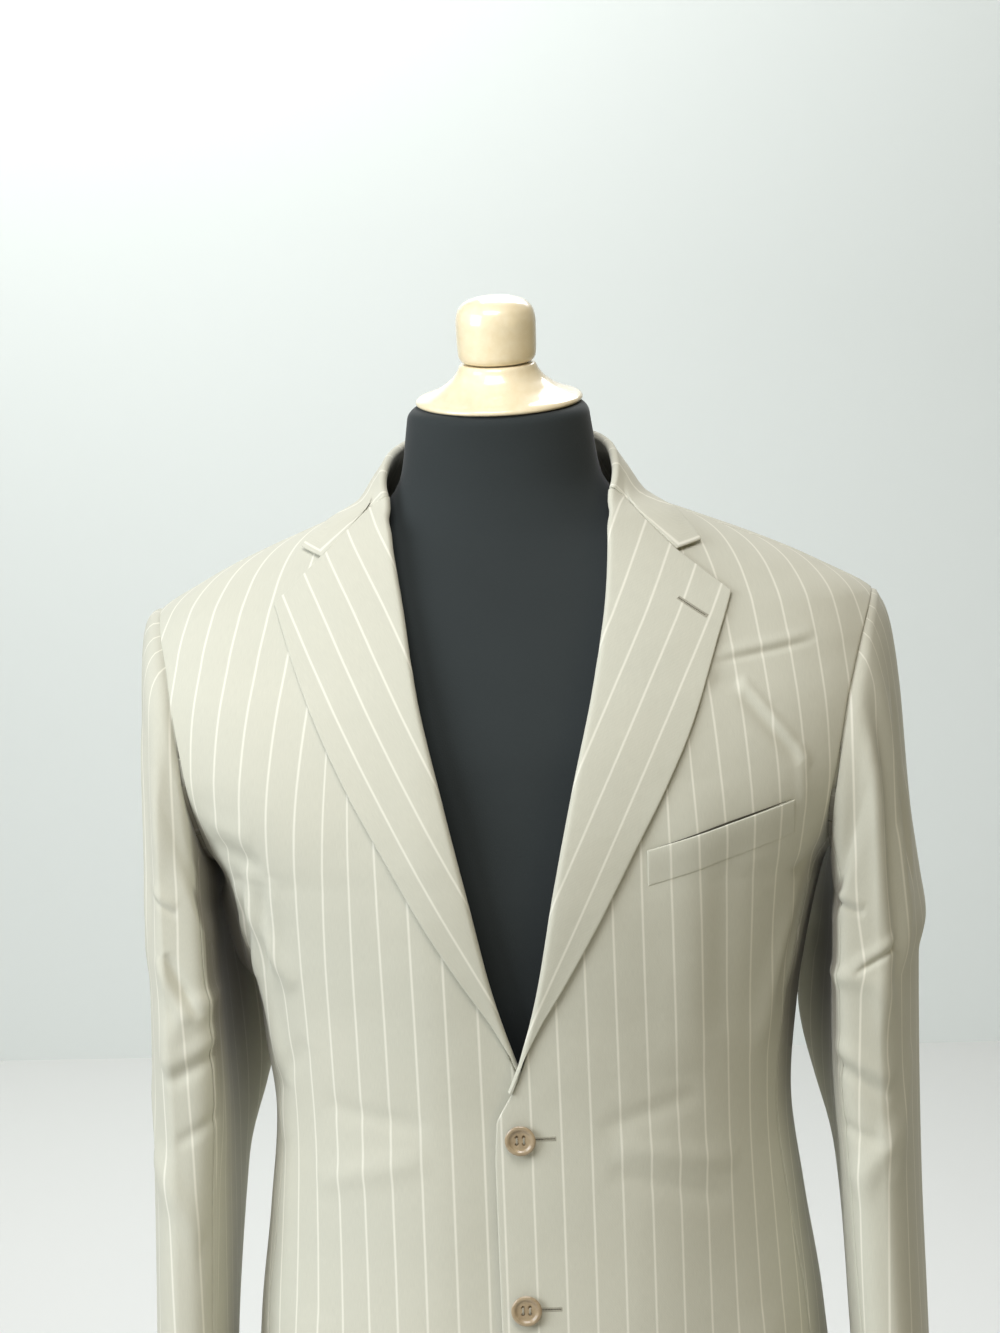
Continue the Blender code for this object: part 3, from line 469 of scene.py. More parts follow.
# Behind its front edge the sleeve leans in to the body and closes the gap
LEAN_IN = (
    # station, how far
    (0.0, 0.0000),
    (1.0, 0.0030),
    (2.0, 0.0100),
    (3.0, 0.0160),
    (4.0, 0.0220),
    (5.0, 0.0310),
    (5.5, 0.0330),
    (6.2, 0.0220),
    (7.0, 0.0080),
    (8.0, 0.0000),
    (9.0, 0.0000),
)
LEAN_IN_ANGLE = (228.0, 30.0)
FRONT_LEAN = (
    # station, how far the inner front corner moves in
    (0.0, 0.0000),
    (1.5, 0.0000),
    (3.0, 0.0035),
    (5.5, 0.0045),
    (7.0, 0.0010),
    (9.0, 0.0000),
)
FRONT_LEAN_ANGLE = (138.0, 34.0)
# The sleeve sinks into its seam: how deep, and over how many stations
SEAM_DIP = (0.0019, 0.12)
# Its allowance goes in under the body's cloth: length, depth, and how it gets there
TUCK = (0.0090, 0.0027)
TUCK_PLACES = (-1.0, -0.7, -0.45, -0.25, -0.12, -0.05)
TUCK_SINKS_BY = 0.3
TUCK_POWER = 1.3
TUCK_DROP = 0.8
TUCK_DROP_POWER = 6

# Creases: ridges and troughs by distance round the cloth and by height
BODY_CREASES = (
    # side, arc, height, arc, height, half width, lift
    (-1, 0.262, 1.266, 0.246, 1.196, 0.0180, 0.0100),
    (-1, 0.205, 1.286, 0.225, 1.200, 0.0060, 0.0022),
    (-1, 0.196, 1.282, 0.213, 1.195, 0.0050, -0.0020),
    (-1, 0.184, 1.290, 0.199, 1.205, 0.0060, 0.0026),
    (-1, 0.173, 1.280, 0.186, 1.210, 0.0045, -0.0016),
    (-1, 0.163, 1.284, 0.174, 1.214, 0.0060, 0.0018),
    (-1, 0.236, 1.304, 0.166, 1.290, 0.0075, -0.0028),
    (-1, 0.232, 1.322, 0.172, 1.308, 0.0080, 0.0016),
    (-1, 0.215, 1.180, 0.190, 1.090, 0.0120, 0.0020),
    (-1, 0.150, 1.170, 0.205, 1.120, 0.0090, -0.0016),
    (1, 0.134, 1.4150, 0.203, 1.4235, 0.0024, -0.0012),
    (1, 0.134, 1.4200, 0.203, 1.4285, 0.0036, 0.0010),
    (1, 0.132, 1.4060, 0.152, 1.3990, 0.0060, -0.0016),
    (1, 0.150, 1.406, 0.200, 1.346, 0.0032, 0.0017),
    (1, 0.149, 1.399, 0.192, 1.350, 0.0050, -0.0019),
    (1, 0.190, 1.364, 0.196, 1.312, 0.0046, 0.0009),
    (1, 0.120, 1.345, 0.112, 1.150, 0.0220, 0.0026),
    (1, 0.140, 1.300, 0.136, 1.170, 0.0120, -0.0014),
    (1, 0.228, 1.292, 0.196, 1.272, 0.0060, -0.0018),
    (1, 0.232, 1.280, 0.206, 1.190, 0.0080, 0.0024),
    (1, 0.215, 1.275, 0.190, 1.180, 0.0070, -0.0016),
    (1, 0.060, 1.105, 0.150, 1.085, 0.0080, 0.0016),
    (1, 0.055, 1.090, 0.140, 1.060, 0.0070, -0.0014),
    (1, 0.050, 1.118, 0.120, 1.135, 0.0070, -0.0012),
    (-1, 0.060, 1.100, 0.150, 1.075, 0.0090, 0.0016),
    (-1, 0.060, 1.120, 0.140, 1.130, 0.0070, -0.0012),
    (1, 0.160, 0.985, 0.185, 0.800, 0.0200, 0.0026),
    (-1, 0.150, 0.990, 0.180, 0.810, 0.0200, 0.0024),
    (1, 0.110, 0.900, 0.105, 0.780, 0.0150, -0.0016),
    (-1, 0.115, 0.905, 0.110, 0.785, 0.0150, -0.0016),
    # the back
    (-1, 0.345, 1.290, 0.372, 1.130, 0.0160, 0.0040),
    (-1, 0.372, 1.300, 0.392, 1.180, 0.0110, -0.0022),
    (1, 0.342, 1.285, 0.366, 1.120, 0.0170, 0.0042),
    (1, 0.368, 1.305, 0.386, 1.190, 0.0110, -0.0024),
    (1, 0.420, 1.120, 0.330, 1.090, 0.0100, 0.0020),
    (-1, 0.425, 1.115, 0.335, 1.080, 0.0100, 0.0018),
    (1, 0.425, 1.095, 0.340, 1.060, 0.0090, -0.0016),
    (-1, 0.420, 1.090, 0.345, 1.055, 0.0090, -0.0016),
    (1, 0.440, 1.480, 0.380, 1.462, 0.0070, -0.0012),
    (-1, 0.440, 1.478, 0.385, 1.458, 0.0070, -0.0012),
    (1, 0.400, 0.990, 0.420, 0.790, 0.0220, 0.0030),
    (-1, 0.395, 0.985, 0.418, 0.795, 0.0220, 0.0030),
)
SLEEVE_CREASES = (
    # side, arc from the outer line towards the front, height, arc, height, half width, lift
    (1, 0.134, 1.262, 0.103, 1.245, 0.0024, -0.0017),
    (1, 0.134, 1.268, 0.103, 1.251, 0.0040, 0.0014),
    (1, 0.115, 1.206, 0.080, 1.226, 0.0023, -0.0016),
    (1, 0.115, 1.212, 0.082, 1.231, 0.0040, 0.0014),
    (1, 0.088, 1.425, 0.091, 1.160, 0.0060, 0.0020),
    (1, 0.076, 1.415, 0.078, 1.180, 0.0070, -0.0028),
    (1, 0.060, 1.400, 0.062, 1.220, 0.0070, 0.0020),
    (1, 0.044, 1.390, 0.050, 1.250, 0.0060, -0.0018),
    (1, 0.066, 1.300, 0.070, 1.200, 0.0090, 0.0026),
    (1, 0.020, 1.330, 0.060, 1.230, 0.0090, 0.0020),
    (1, 0.130, 1.150, 0.085, 1.120, 0.0050, -0.0024),
    (1, 0.130, 1.160, 0.080, 1.132, 0.0070, 0.0022),
    (1, 0.125, 1.105, 0.088, 1.090, 0.0045, -0.0018),
    (1, 0.050, 1.150, 0.085, 1.060, 0.0090, 0.0020),
    (1, -0.080, 1.180, -0.020, 1.110, 0.0080, 0.0026),
    (1, -0.085, 1.140, -0.030, 1.075, 0.0060, -0.0022),
    (1, -0.060, 1.400, -0.066, 1.220, 0.0090, 0.0024),
    (1, -0.082, 1.390, -0.086, 1.250, 0.0070, -0.0022),
    (-1, 0.084, 1.2670, 0.103, 1.2550, 0.0024, -0.0012),
    (-1, 0.082, 1.2730, 0.103, 1.2610, 0.0045, 0.0012),
    (-1, 0.094, 1.2300, 0.114, 1.1860, 0.0042, -0.0030),
    (-1, 0.087, 1.2280, 0.106, 1.1820, 0.0055, 0.0022),
    (-1, 0.090, 1.420, 0.093, 1.280, 0.0060, 0.0014),
    (-1, 0.072, 1.400, 0.075, 1.200, 0.0080, -0.0011),
    (-1, 0.055, 1.380, 0.060, 1.230, 0.0080, 0.0020),
    (-1, 0.132, 1.165, 0.086, 1.140, 0.0050, -0.0022),
    (-1, 0.132, 1.176, 0.084, 1.150, 0.0070, 0.0020),
    (-1, 0.128, 1.120, 0.090, 1.098, 0.0045, -0.0018),
    (-1, 0.048, 1.140, 0.080, 1.050, 0.0090, 0.0020),
    (-1, -0.078, 1.175, -0.022, 1.100, 0.0080, 0.0026),
    (-1, -0.083, 1.135, -0.030, 1.068, 0.0060, -0.0022),
    (-1, -0.058, 1.395, -0.064, 1.230, 0.0090, 0.0024),
    (-1, -0.080, 1.385, -0.084, 1.240, 0.0070, -0.0020),
)
LEG_CREASES = (
    # side, arc from the front crease, height, arc, height, half width, lift
    (1, -0.085, 0.780, 0.000, 0.845, 0.0100, 0.0030),
    (1, -0.080, 0.755, 0.010, 0.815, 0.0090, -0.0022),
    (-1, -0.085, 0.775, 0.000, 0.838, 0.0100, 0.0030),
    (-1, -0.080, 0.750, 0.010, 0.808, 0.0090, -0.0022),
    (1, -0.050, 0.540, 0.060, 0.500, 0.0140, 0.0024),
    (1, -0.040, 0.505, 0.060, 0.470, 0.0110, -0.0018),
    (-1, -0.055, 0.530, 0.055, 0.492, 0.0140, 0.0024),
    (-1, -0.045, 0.498, 0.050, 0.462, 0.0110, -0.0018),
    (1, -0.060, 0.110, 0.060, 0.085, 0.0110, 0.0034),
    (1, -0.055, 0.090, 0.050, 0.068, 0.0080, -0.0024),
    (-1, -0.060, 0.105, 0.060, 0.082, 0.0110, 0.0034),
    (-1, -0.055, 0.086, 0.050, 0.064, 0.0080, -0.0024),
    (1, 0.190, 0.560, 0.300, 0.520, 0.0150, 0.0026),
    (-1, 0.190, 0.550, 0.300, 0.512, 0.0150, 0.0026),
    (1, 0.230, 0.790, 0.330, 0.740, 0.0130, 0.0030),
    (-1, 0.230, 0.780, 0.330, 0.732, 0.0130, 0.0030),
)
# On the wearer's left the notch, the collar's corner and the lapel's tip lie closer in and lower
SETTLED = {
    # side: of each, how far in and how far down
    1: ((0.0045, 0.0022), (0.0024, 0.0034), (0.0049, 0.0000)),
    -1: ((0.0, 0.0), (0.0, 0.0), (0.0, 0.0)),
}
# On the lapel this starts at a height and is whole a little above it
SETTLES_IN = (1.36, 0.08)
SETTLES_DOWN = (1.40, 0.06)
WELT_SEAM_LIFT = 0.0004
WELT_ARCH = 0.0006
# The pocket's mouth, a strip dark with painted shade: its half opening, its least share, its ends and
# its rows
POCKET_GAPE = 0.0011
POCKET_LEAST = 0.25
POCKET_TAPER = 12
POCKET_INSET = 0.002
POCKET_POINTS = 41
POCKET_ROWS = ((-0.8, 0.0002), (0.0, 0.0004), (1.0, 0.0003))
# Slow waves of hanging cloth: a broad one that drifts with the height, and a finer one
WAVINESS = 0.0005
BROAD_WAVE = (31.0, 13.0, 6.0)
WAVE_DRIFT = (2.1, 9.0)
FINE_WAVE = (0.6, 58.0, 17.0, 1.3)
SLEEVE_WAVE_SHIFT = 0.37
LEG_WAVINESS = 2
# Folds start a little way from an edge or seam: metres, stations or degrees
CENTRE_QUIET = (0.020, 0.060)
ARMHOLE_QUIET = 0.020
SLEEVE_QUIET = (0.4, 1.2)
WAIST_QUIET = 0.06
LEG_SEAM_QUIET = 12.0
# Half width, lift and top of the crease pressed into a trouser leg
PRESSED_CREASE = (0.0050, 0.0016, 0.860)
PRESSED_FADE = 0.15
# The seam allowance fills out the sleeve's head: middle and half width in stations, and lift
SLEEVE_HEAD = (0.45, 0.40, 0.0014)
SLEEVE_HEAD_STARTS = 0.3

# Dress form and turned pieces
FORM_FINE_COLUMNS = 112
FORM_FINE_ROWS = 120
NECK_ROUNDING = 0.0060
NECK_ROWS = 6
PROFILE_SOFTENING = 3
NECK_PROFILE_STEP = 0.0014
BASE_PROFILE_STEP = 0.0032
POLE_BEVEL = 0.0005
CAP_STEPS = 80
KNOB_STEPS = 64
BASE_STEPS = 96
POLE_STEPS = 48
SHARP_ANGLE = 40.0
MERGED = 0.00001

# Buttons, as shares of their radius and thickness
BUTTON_PROFILE = (
    # share of the thickness, share of the radius
    (0.55, 0.00),
    (0.55, 0.55),
    (0.62, 0.66),
    (0.92, 0.74),
    (1.00, 0.84),
    (0.96, 0.94),
    (0.75, 1.00),
    (0.35, 0.98),
    (0.05, 0.80),
    (0.00, 0.60),
    (0.00, 0.00),
)
BUTTON_RINGS = 36
BUTTON_STEPS = 64
HOLE_AT = 0.23
HOLE_RADIUS = 0.095
HOLE_RIM = 1.3
HOLE_BLEND = 0.6
HOLE_DEPTH = 0.45
FACE_FROM = 1 / 3
THREAD_LEVEL = 0.60
THREAD_SHIFTS = (-0.030, 0.030)

# Worked buttonholes: the lapel's two ends, and how far the others reach from their button
LAPEL_HOLE = ((0.1110, 1.4550), (0.1290, 1.4430))
FRONT_HOLE = (0.0035, 0.0225)
CUFF_HOLE = (0.0030, 0.0165)
BESIDE_CUFF = 0.5
HOLE_GAP = 0.00055
STITCH_LENGTH = 0.0021
STITCH_RADIUS = 0.00028
STITCH_PITCH = 0.0006
STITCH_SIDES = 6
STITCH_RINGS = 5
FEWEST_STITCHES = 8
SLIT_STEP = 3

# The cloth's look: stripes, twill, threads and slow patches
STRIPE_HALF = 0.00072
STRIPE_SOFT = 0.00042
STRIPE_SHARE = 0.9
STRIPE_COLOUR = (0.708, 0.688, 0.580)
CLOTH_COOL = (0.505, 0.503, 0.414)
CLOTH_WARM = (0.555, 0.535, 0.430)
TWILL = 6200.0
THREAD_SCALE = (2600.0, 160.0)
CLOTH_PATCHES = (7.0, 3.0)
UNEVEN_SCALE = 38.0
SLUB = (0.16, 0.92)
TWILL_RELIEF = 0.4
THREAD_RELIEF = 0.6
STRIPE_RELIEF = 0.8
# Reliefs: strength and distance
WEAVE_RELIEF = (0.35, 0.00015)
UNEVEN_RELIEF = (0.5, 0.0011)
# Shade in the armhole's seam, and where a sleeve and the body face each other
SEAM_SHADE_DEPTH = 0.006
SEAM_SHADE_SHARE = 0.85
SEAM_SHADE = (0.030, 0.024, 0.015)
ARM_SHADE_TURN = (0.83, 0.15)
ARM_SHADE_FOOT = (1.07, 0.13)
ARM_SHADE_SHARE = 0.70
ARM_SHADE = (0.066, 0.046, 0.024)

# The other finishes: colours from one end of the noise to the other, its scale and detail, reliefs
THREAD_COLOURS = ((0.30, 0.28, 0.21), (0.42, 0.40, 0.31))
TWIST_SCALE = 2200.0
# Painted shade: a dark brown that stands for the shadow in the pocket's mouth and in the buttonhole
# slits
SLIT_SHADE_COLOURS = ((0.050, 0.045, 0.032), (0.110, 0.100, 0.072))
SLIT_SHADE_SCALE = 1500.0
JERSEY_COLOURS = ((0.010, 0.0145, 0.0142), (0.018, 0.024, 0.024))
JERSEY_PATCHES = (9.0, 3.0)
JERSEY_KNIT_SCALE = 900.0
JERSEY_RELIEF = (0.3, 0.0003)
WOOD_COLOURS = ((0.90, 0.80, 0.58), (0.78, 0.64, 0.38))
WOOD_FIBRES = (3.0, 4.0, 0.6)
WOOD_GRAIN = (60.0, 6.0, 60.0)
WOOD_RELIEF = (0.05, 0.0003)
STEEL_COLOURS = ((0.52, 0.53, 0.54), (0.66, 0.67, 0.68))
STEEL_BRUSHING = (900.0, 900.0, 8.0)
STEEL_ROUGHNESS = (0.15, 0.22)
HORN_COLOURS = ((0.50, 0.40, 0.25), (0.20, 0.13, 0.07))
HORN_STREAKS = (160.0, 4.0, 0.6)
FLOOR_COLOURS = ((0.78, 0.78, 0.76), (0.74, 0.74, 0.73))
WALL_COLOURS = ((0.80, 0.83, 0.81), (0.77, 0.81, 0.79))
PAINT_SCALE = 2.0

# Even settings of each finish's shader
CLOTH_SHADER = {
    "Roughness": 0.82,
    "Sheen Weight": 0.12,
    "Sheen Roughness": 0.45,
    "Specular IOR Level": 0.3,
}
THREAD_SHADER = {"Roughness": 0.6, "Sheen Weight": 0.2}
SLIT_SHADE_SHADER = {"Roughness": 0.95}
JERSEY_SHADER = {"Roughness": 0.9, "Sheen Weight": 0.10, "Sheen Roughness": 0.5}
WOOD_SHADER = {"Roughness": 0.35, "Coat Weight": 0.8, "Coat Roughness": 0.08}
STEEL_SHADER = {"Metallic": 1.0}
HORN_SHADER = {"Roughness": 0.3, "Coat Weight": 0.3, "Coat Roughness": 0.15}
FLOOR_SHADER = {"Roughness": 0.7}
WALL_SHADER = {"Roughness": 0.9}

# Room and lights
FLOOR_SIZE = (9.0, 8.4)
WALL_SIZE = (9.0, 4.0)
WALL_PLACE = (0.0, 4.2, 2.0)
LIGHTS = (
    # name, place, aim, size, power, colour
    ("window", (-2.2, -1.5, 2.15), (0.0, 0.0, 1.25), (1.6, 1.6), 72.0, (0.87, 0.925, 1.0)),
    ("ceiling", (-0.25, -1.4, 3.5), (0.0, 0.0, 1.4), (1.6, 1.2), 57.0, (0.965, 0.965, 1.0)),
    ("lamp", (2.3, -2.1, 1.7), (0.0, 0.0, 1.2), (1.6, 1.6), 10.0, (1.0, 0.86, 0.52)),
    ("back", (0.4, 2.4, 3.4), (0.0, 0.0, 1.3), (2.0, 1.4), 58.0, (0.95, 0.97, 1.0)),
    ("wash", (-1.2, 2.7, 3.3), (-1.0, 4.2, 2.0), (1.6, 1.0), 58.0, (0.97, 1.0, 1.0)),
)
ROOM_LIGHT = (1.0, 0.92, 0.66)
ROOM_STRENGTH = 0.115
ROOM_SEEN = (0.40, 0.44, 0.42)

# Camera
IMAGE_HEIGHT = 1333
FOCAL_PIXELS = 3600.0
SENSOR_HEIGHT = 36.0
CAMERA_DISTANCE = 2.4
CAMERA_NEAREST = 0.05
CAMERA_PITCH = 9.0
CAMERA_YAW = 4.5
CAMERA_ROLL = 2.3
CAMERA_AIM = (-0.0115, 0.0, 1.400)


def column(table, index):
    """One column of a table."""
    return np.array([row[index] for row in table], float)


def smooth_at(at, knots, values):
    """Read the smooth curve through the knots that never overshoots their values."""
    span = np.diff(knots)
    slope = np.diff(values) / span
    tangent = np.concatenate([slope[:1], np.zeros(len(slope) - 1), slope[-1:]])
    turning = slope[:-1] * slope[1:] <= 0
    mean = 2 * slope[:-1] * slope[1:] / np.where(turning, 1.0, slope[:-1] + slope[1:])
    tangent[1:-1] = np.where(turning, 0.0, mean)
    cell = np.clip(np.searchsorted(knots, at, side="right") - 1, 0, len(span) - 1)
    t = (at - knots[cell]) / span[cell]
    low = values[cell] * (1 + 2 * t) * (1 - t) ** 2 + tangent[cell] * span[cell] * t * (1 - t) ** 2
    high = values[cell + 1] * t * t * (3 - 2 * t) - tangent[cell + 1] * span[cell] * t * t * (1 - t)
    return low + high


def read(table, at, index):
    """Column index of a table, read smoothly at a value of its first column."""
    return smooth_at(np.asarray(at, float), column(table, 0), column(table, index))


def ease(share):
    """A smooth step from 0 to 1."""
    share = np.clip(share, 0.0, 1.0)
    return share * share * (3 - 2 * share)


def hump(value, middle, half_width):
    """1 at the middle, and softly down to 0 on both sides of it."""
    return np.exp(-(((value - middle) / half_width) ** 2))


def ring(table, angle, height):
    """The point of a level section at an angle."""
    half_width = read(table, height, 1)
    square = read(table, height, 4)
    sine = np.sin(np.radians(angle))
    cosine = np.cos(np.radians(angle))
    depth = np.where(cosine > 0, read(table, height, 2), read(table, height, 3))
    centre = read(table, height, 5) if len(table[0]) > 5 else 0.0
    x = centre + half_width * np.sign(sine) * np.abs(sine) ** (2 / square)
    y = -depth * np.sign(cosine) * np.abs(cosine) ** (2 / square)
    return np.stack([x, y, height + 0.0 * x], axis=-1)


def locate(point):
    """The angle and height of a point of the jacket's body."""
    x, y, height = np.moveaxis(point, -1, 0)
    power = read(BODY, height, 4) / 2
    depth = np.where(y < 0, read(BODY, height, 2), read(BODY, height, 3))
    sine = np.sign(x) * (np.abs(x) / read(BODY, height, 1)) ** power
    cosine = -np.sign(y) * (np.abs(y) / depth) ** power
    angle = np.degrees(np.arctan2(sine, cosine))
    return np.where(angle < -90, angle + 360, angle), height


def angle_at(x, height, table=BODY):
    """The angle, on the front, where a level section is x from its centre."""
    share = np.clip(np.abs(x) / read(table, height, 1), 0.0, 1.0)
    return np.sign(x) * np.degrees(np.arcsin(share ** (read(table, height, 4) / 2)))


def unit(vector):
    """Vectors at a length of 1."""
    return vector / np.linalg.norm(vector, axis=-1, keepdims=True)


def on_side(point, normal, side):
    """A place of the wearer's left side and its normal, mirrored if the side is the right."""
    flip = np.array([side, 1.0, 1.0])
    return point * flip, normal * flip


def outward(surface, angle, height, height_step=HEIGHT_STEP):
    """The outward normal of surface(angle, height)."""
    along = surface(angle + ANGLE_STEP, height) - surface(angle - ANGLE_STEP, height)
    up = surface(angle, height + height_step) - surface(angle, height - height_step)
    return unit(np.cross(along, up))


def between(low, high, share):
    """The value at a share of the way from low to high."""
    return low + (high - low) * share


def run_along(points, axis):
    """Distance gone along a grid's rows or columns."""
    steps = np.linalg.norm(np.diff(points, axis=axis), axis=-1)
    start = np.zeros_like(np.take(steps, [0], axis=axis))
    return np.cumsum(np.concatenate([start, steps], axis=axis), axis=axis)


def gone_along(line):
    """Distance gone along the points of a line."""
    return np.insert(np.cumsum(np.linalg.norm(np.diff(line, axis=0), axis=1)), 0, 0.0)


def arc_reader(surface, angles, heights):
    """A function that gives the distance round a surface from its angle 0."""
    grid_angle, grid_height = np.meshgrid(angles, heights)
    gone = run_along(surface(grid_angle, grid_height), 1)
    gone = gone - gone[:, np.searchsorted(angles, 0.0)][:, None]

    def arc(angle, height):
        angle, height = np.broadcast_arrays(angle, height)
        column_at = np.interp(angle, angles, np.arange(len(angles)))
        row_at = np.interp(height, heights, np.arange(len(heights)))
        column_1 = np.minimum(column_at.astype(int), len(angles) - 2)
        row_1 = np.minimum(row_at.astype(int), len(heights) - 2)
        right = column_at - column_1
        above = row_at - row_1
        low = between(gone[row_1, column_1], gone[row_1, column_1 + 1], right)
        high = between(gone[row_1 + 1, column_1], gone[row_1 + 1, column_1 + 1], right)
        return between(low, high, above)

    return arc


body_arc, leg_arc = (
    arc_reader(
        partial(ring, table),
        np.arange(*BODY_ROUND),
        np.linspace(table[0][0], table[-1][0], ARC_SAMPLES),
    )
    for table in (BODY, TROUSERS)
)


def fold_lift(folds, side, angle, height, degree, rise):
    """How far the soft folds of one side lift the cloth."""
    lift = 0.0 * angle
    for fold_side, angle_1, height_1, angle_2, height_2, half_width, top in folds:
        if fold_side != side:
            continue
        run = np.array([(angle_2 - angle_1) * degree, (height_2 - height_1) * rise])
        across = (angle - angle_1) * degree
        down = (height - height_1) * rise
        share = (across * run[0] + down * run[1]) / (run @ run)
        distance = (across * run[1] - down * run[0]) / math.hypot(*run)
        ends = np.clip(1 - (2 * share - 1) ** 4, 0.0, 1.0)
        lift = lift + top * ends * hump(distance, 0.0, half_width)
    return lift


def creased(creases, side, arc, height):
    """How far the ridges and troughs of one side lift the cloth."""
    return fold_lift(creases, side, arc, height, 1.0, 1.0)


def waviness(arc, height):
    """The slow unevenness of hanging cloth."""
    round_it, down_it, slant = BROAD_WAVE
    drift, drift_down = WAVE_DRIFT
    share, fine_round, fine_down, start = FINE_WAVE
    broad = np.sin(arc * round_it + drift * np.sin(height * drift_down))
    broad = broad * np.sin(height * down_it + arc * slant)
    return WAVINESS * (broad + share * np.sin(arc * fine_round - height * fine_down + start))


def armhole_quiet(x, height):
    """0 at the armhole seam, 1 a little way from it, so that creases end before the seam."""
    seam_x = read(ARMHOLE, np.clip(height, ARMHOLE[0][0], SHOULDER_TIP), 1)
    below = np.maximum(ARMHOLE[0][0] - height, 0.0)
    return ease(np.hypot(np.maximum(seam_x - x, 0.0), below) / ARMHOLE_QUIET)


def on_body(angle, height, lift, side):
    """Points of the jacket's body moved out by lift, with the outward normals there."""
    angle, height = np.broadcast_arrays(np.asarray(angle, float), np.asarray(height, float))
    point = ring(BODY, angle, height)
    normal = outward(partial(ring, BODY), angle, height)
    near = 1 - ease(np.abs(point[..., 0]) / OVERLAP_REACH)
    near = near * (np.abs(angle) < 90)
    overlap = near * (LEFT_LIES_OVER if side > 0 else -RIGHT_LIES_UNDER)
    folds = fold_lift(BODY_FOLDS, side, angle, height, BODY_DEGREE, 1.0)
    arc = body_arc(angle, height)
    start, reach = CENTRE_QUIET
    quiet = ease((arc - start) / reach) * ease((body_arc(180.0, height) - arc) / reach)
    worn = creased(BODY_CREASES, side, arc, height) + waviness(arc, height) * quiet
    folds = folds + worn * armhole_quiet(point[..., 0], height)
    return on_side(point + normal * (lift + overlap + folds)[..., None], normal, side)


def armhole_angle(height, shift_side=0):
    """Angle of the armhole seam; a side picks the front's seam, which its own wear has moved."""
    height = np.clip(height, ARMHOLE[0][0], SHOULDER_TIP)
    shift = read(ARMHOLE_SHIFT[shift_side], height, 1) if shift_side else 0.0
    return angle_at(read(ARMHOLE, height, 1) + shift, height)


def underarm_height(angle):
    """Height of the underarm at an angle between the side seams."""
    heights = np.linspace(ARMHOLE[0][0], UNDERARM_TOP, EDGE_SAMPLES)
    return np.interp(np.minimum(angle, 180 - angle), armhole_angle(heights)[::-1], heights[::-1])


def fold_line(place):
    """Angle and height of the fold: 0 at the break, 1 at the gorge, 2 at the centre back."""
    heights = np.linspace(ROLL_LINE[0][0], ROLL_LINE[-1][0], FOLD_SAMPLES)
    places = place_of(heights)
    angles = angle_at(read(ROLL_LINE, heights, 1), heights)
    collar_angles = column(COLLAR_FOLD, 0)
    collar_places = 1 + (collar_angles - angles[-1]) / (collar_angles[-1] - angles[-1])
    places = np.concatenate([places, collar_places])
    angle = smooth_at(place, places, np.concatenate([angles, collar_angles]))
    height = smooth_at(place, places, np.concatenate([heights, column(COLLAR_FOLD, 1)]))
    return angle, height


def fold_frame(place, bend):
    """Where the fold's bend starts, with the ways out of the cloth and over the edge."""
    place = np.asarray(place, float)
    angle, height = fold_line(place)
    point = ring(BODY, angle, height)
    normal = outward(partial(ring, BODY), angle, height)
    ahead = ring(BODY, *fold_line(np.minimum(place + PLACE_STEP, 2.0)))
    behind = ring(BODY, *fold_line(place - PLACE_STEP))
    over = unit(np.cross(normal, unit(ahead - behind)))
    start = point - over * np.asarray(bend)[..., None]
    return start, normal, over


def place_of(height):
    """Place on the fold line of a height on the lapel."""
    return (height - ROLL_LINE[0][0]) / (ROLL_LINE[-1][0] - ROLL_LINE[0][0])


def lapel_bend(share):
    """Radius of the lapel's fold at a share of the way up."""
    return read(LAPEL_BEND, share, 1)


def front_edge_angle(height):
    """The angle where a front ends: its own edge, and above the break the lapel's fold."""
    heights = np.linspace(LAPEL_FOOT, ROLL_LINE[-1][0], EDGE_SAMPLES)
    places = place_of(heights)
    start, _, over = fold_frame(places, lapel_bend(places))
    angles, folded_heights = locate(start - over * FOLD_GAP)
    edge_heights = column(FRONT_EDGE, 0)
    dense = np.linspace(edge_heights[0], edge_heights[-1], EDGE_SAMPLES)
    plain = angle_at(read(FRONT_EDGE, dense, 1), dense)
    return np.interp(height, np.append(dense, folded_heights), np.append(plain, angles))


def leaning(point):
    """The neck, with the form's, stands a little towards the wearer's right."""
    start, end, shift = NECK_LEAN
    shift = shift * ease((point[..., 2] - start) / (end - start))
    return point + shift[..., None] * np.array([1.0, 0.0, 0.0])


def evenly(line, start, end, step):
    """Values from start to end that stand a step apart on line(value), closer at both ends."""
    dense = np.linspace(start, end, LINE_SAMPLES)
    gone = gone_along(line(dense))
    count = max(2, round((gone[-1] - 2 * RIM[-1]) / step))
    middle = np.linspace(RIM[-1], gone[-1] - RIM[-1], count + 1)
    lengths = np.concatenate([RIM[:-1], middle, gone[-1] - RIM[-2::-1]])
    return np.interp(lengths, gone, dense)


def spread(length, step):
    """Shares of a length that stand a step apart, closer at both ends."""
    return evenly(lambda share: length * share[:, None], 0.0, 1.0, step)


def finer(places, start, end, parts):
    """The places, with every gap from start to end cut into parts."""
    found = []
    for low, high in zip(places[:-1], places[1:]):
        count = parts if start < (low + high) / 2 < end else 1
        found.extend(np.linspace(low, high, count, endpoint=False))
    return np.append(found, places[-1])


def slab(columns, rows):
    """A closed flat grid two faces deep, its back at a depth of 1."""
    shape = bmesh.new()
    bmesh.ops.create_grid(shape, x_segments=columns, y_segments=rows, size=0.5)
    made = bmesh.ops.extrude_face_region(shape, geom=shape.faces[:], use_keep_orig=True)
    for item in made["geom"]:
        if isinstance(item, bmesh.types.BMVert):
            item.co.z = -1.0
    bmesh.ops.recalc_face_normals(shape, faces=shape.faces)
    return shape


def side_name(side):
    """The wearer's side, of +1 or -1."""
    return "left" if side > 0 else "right"


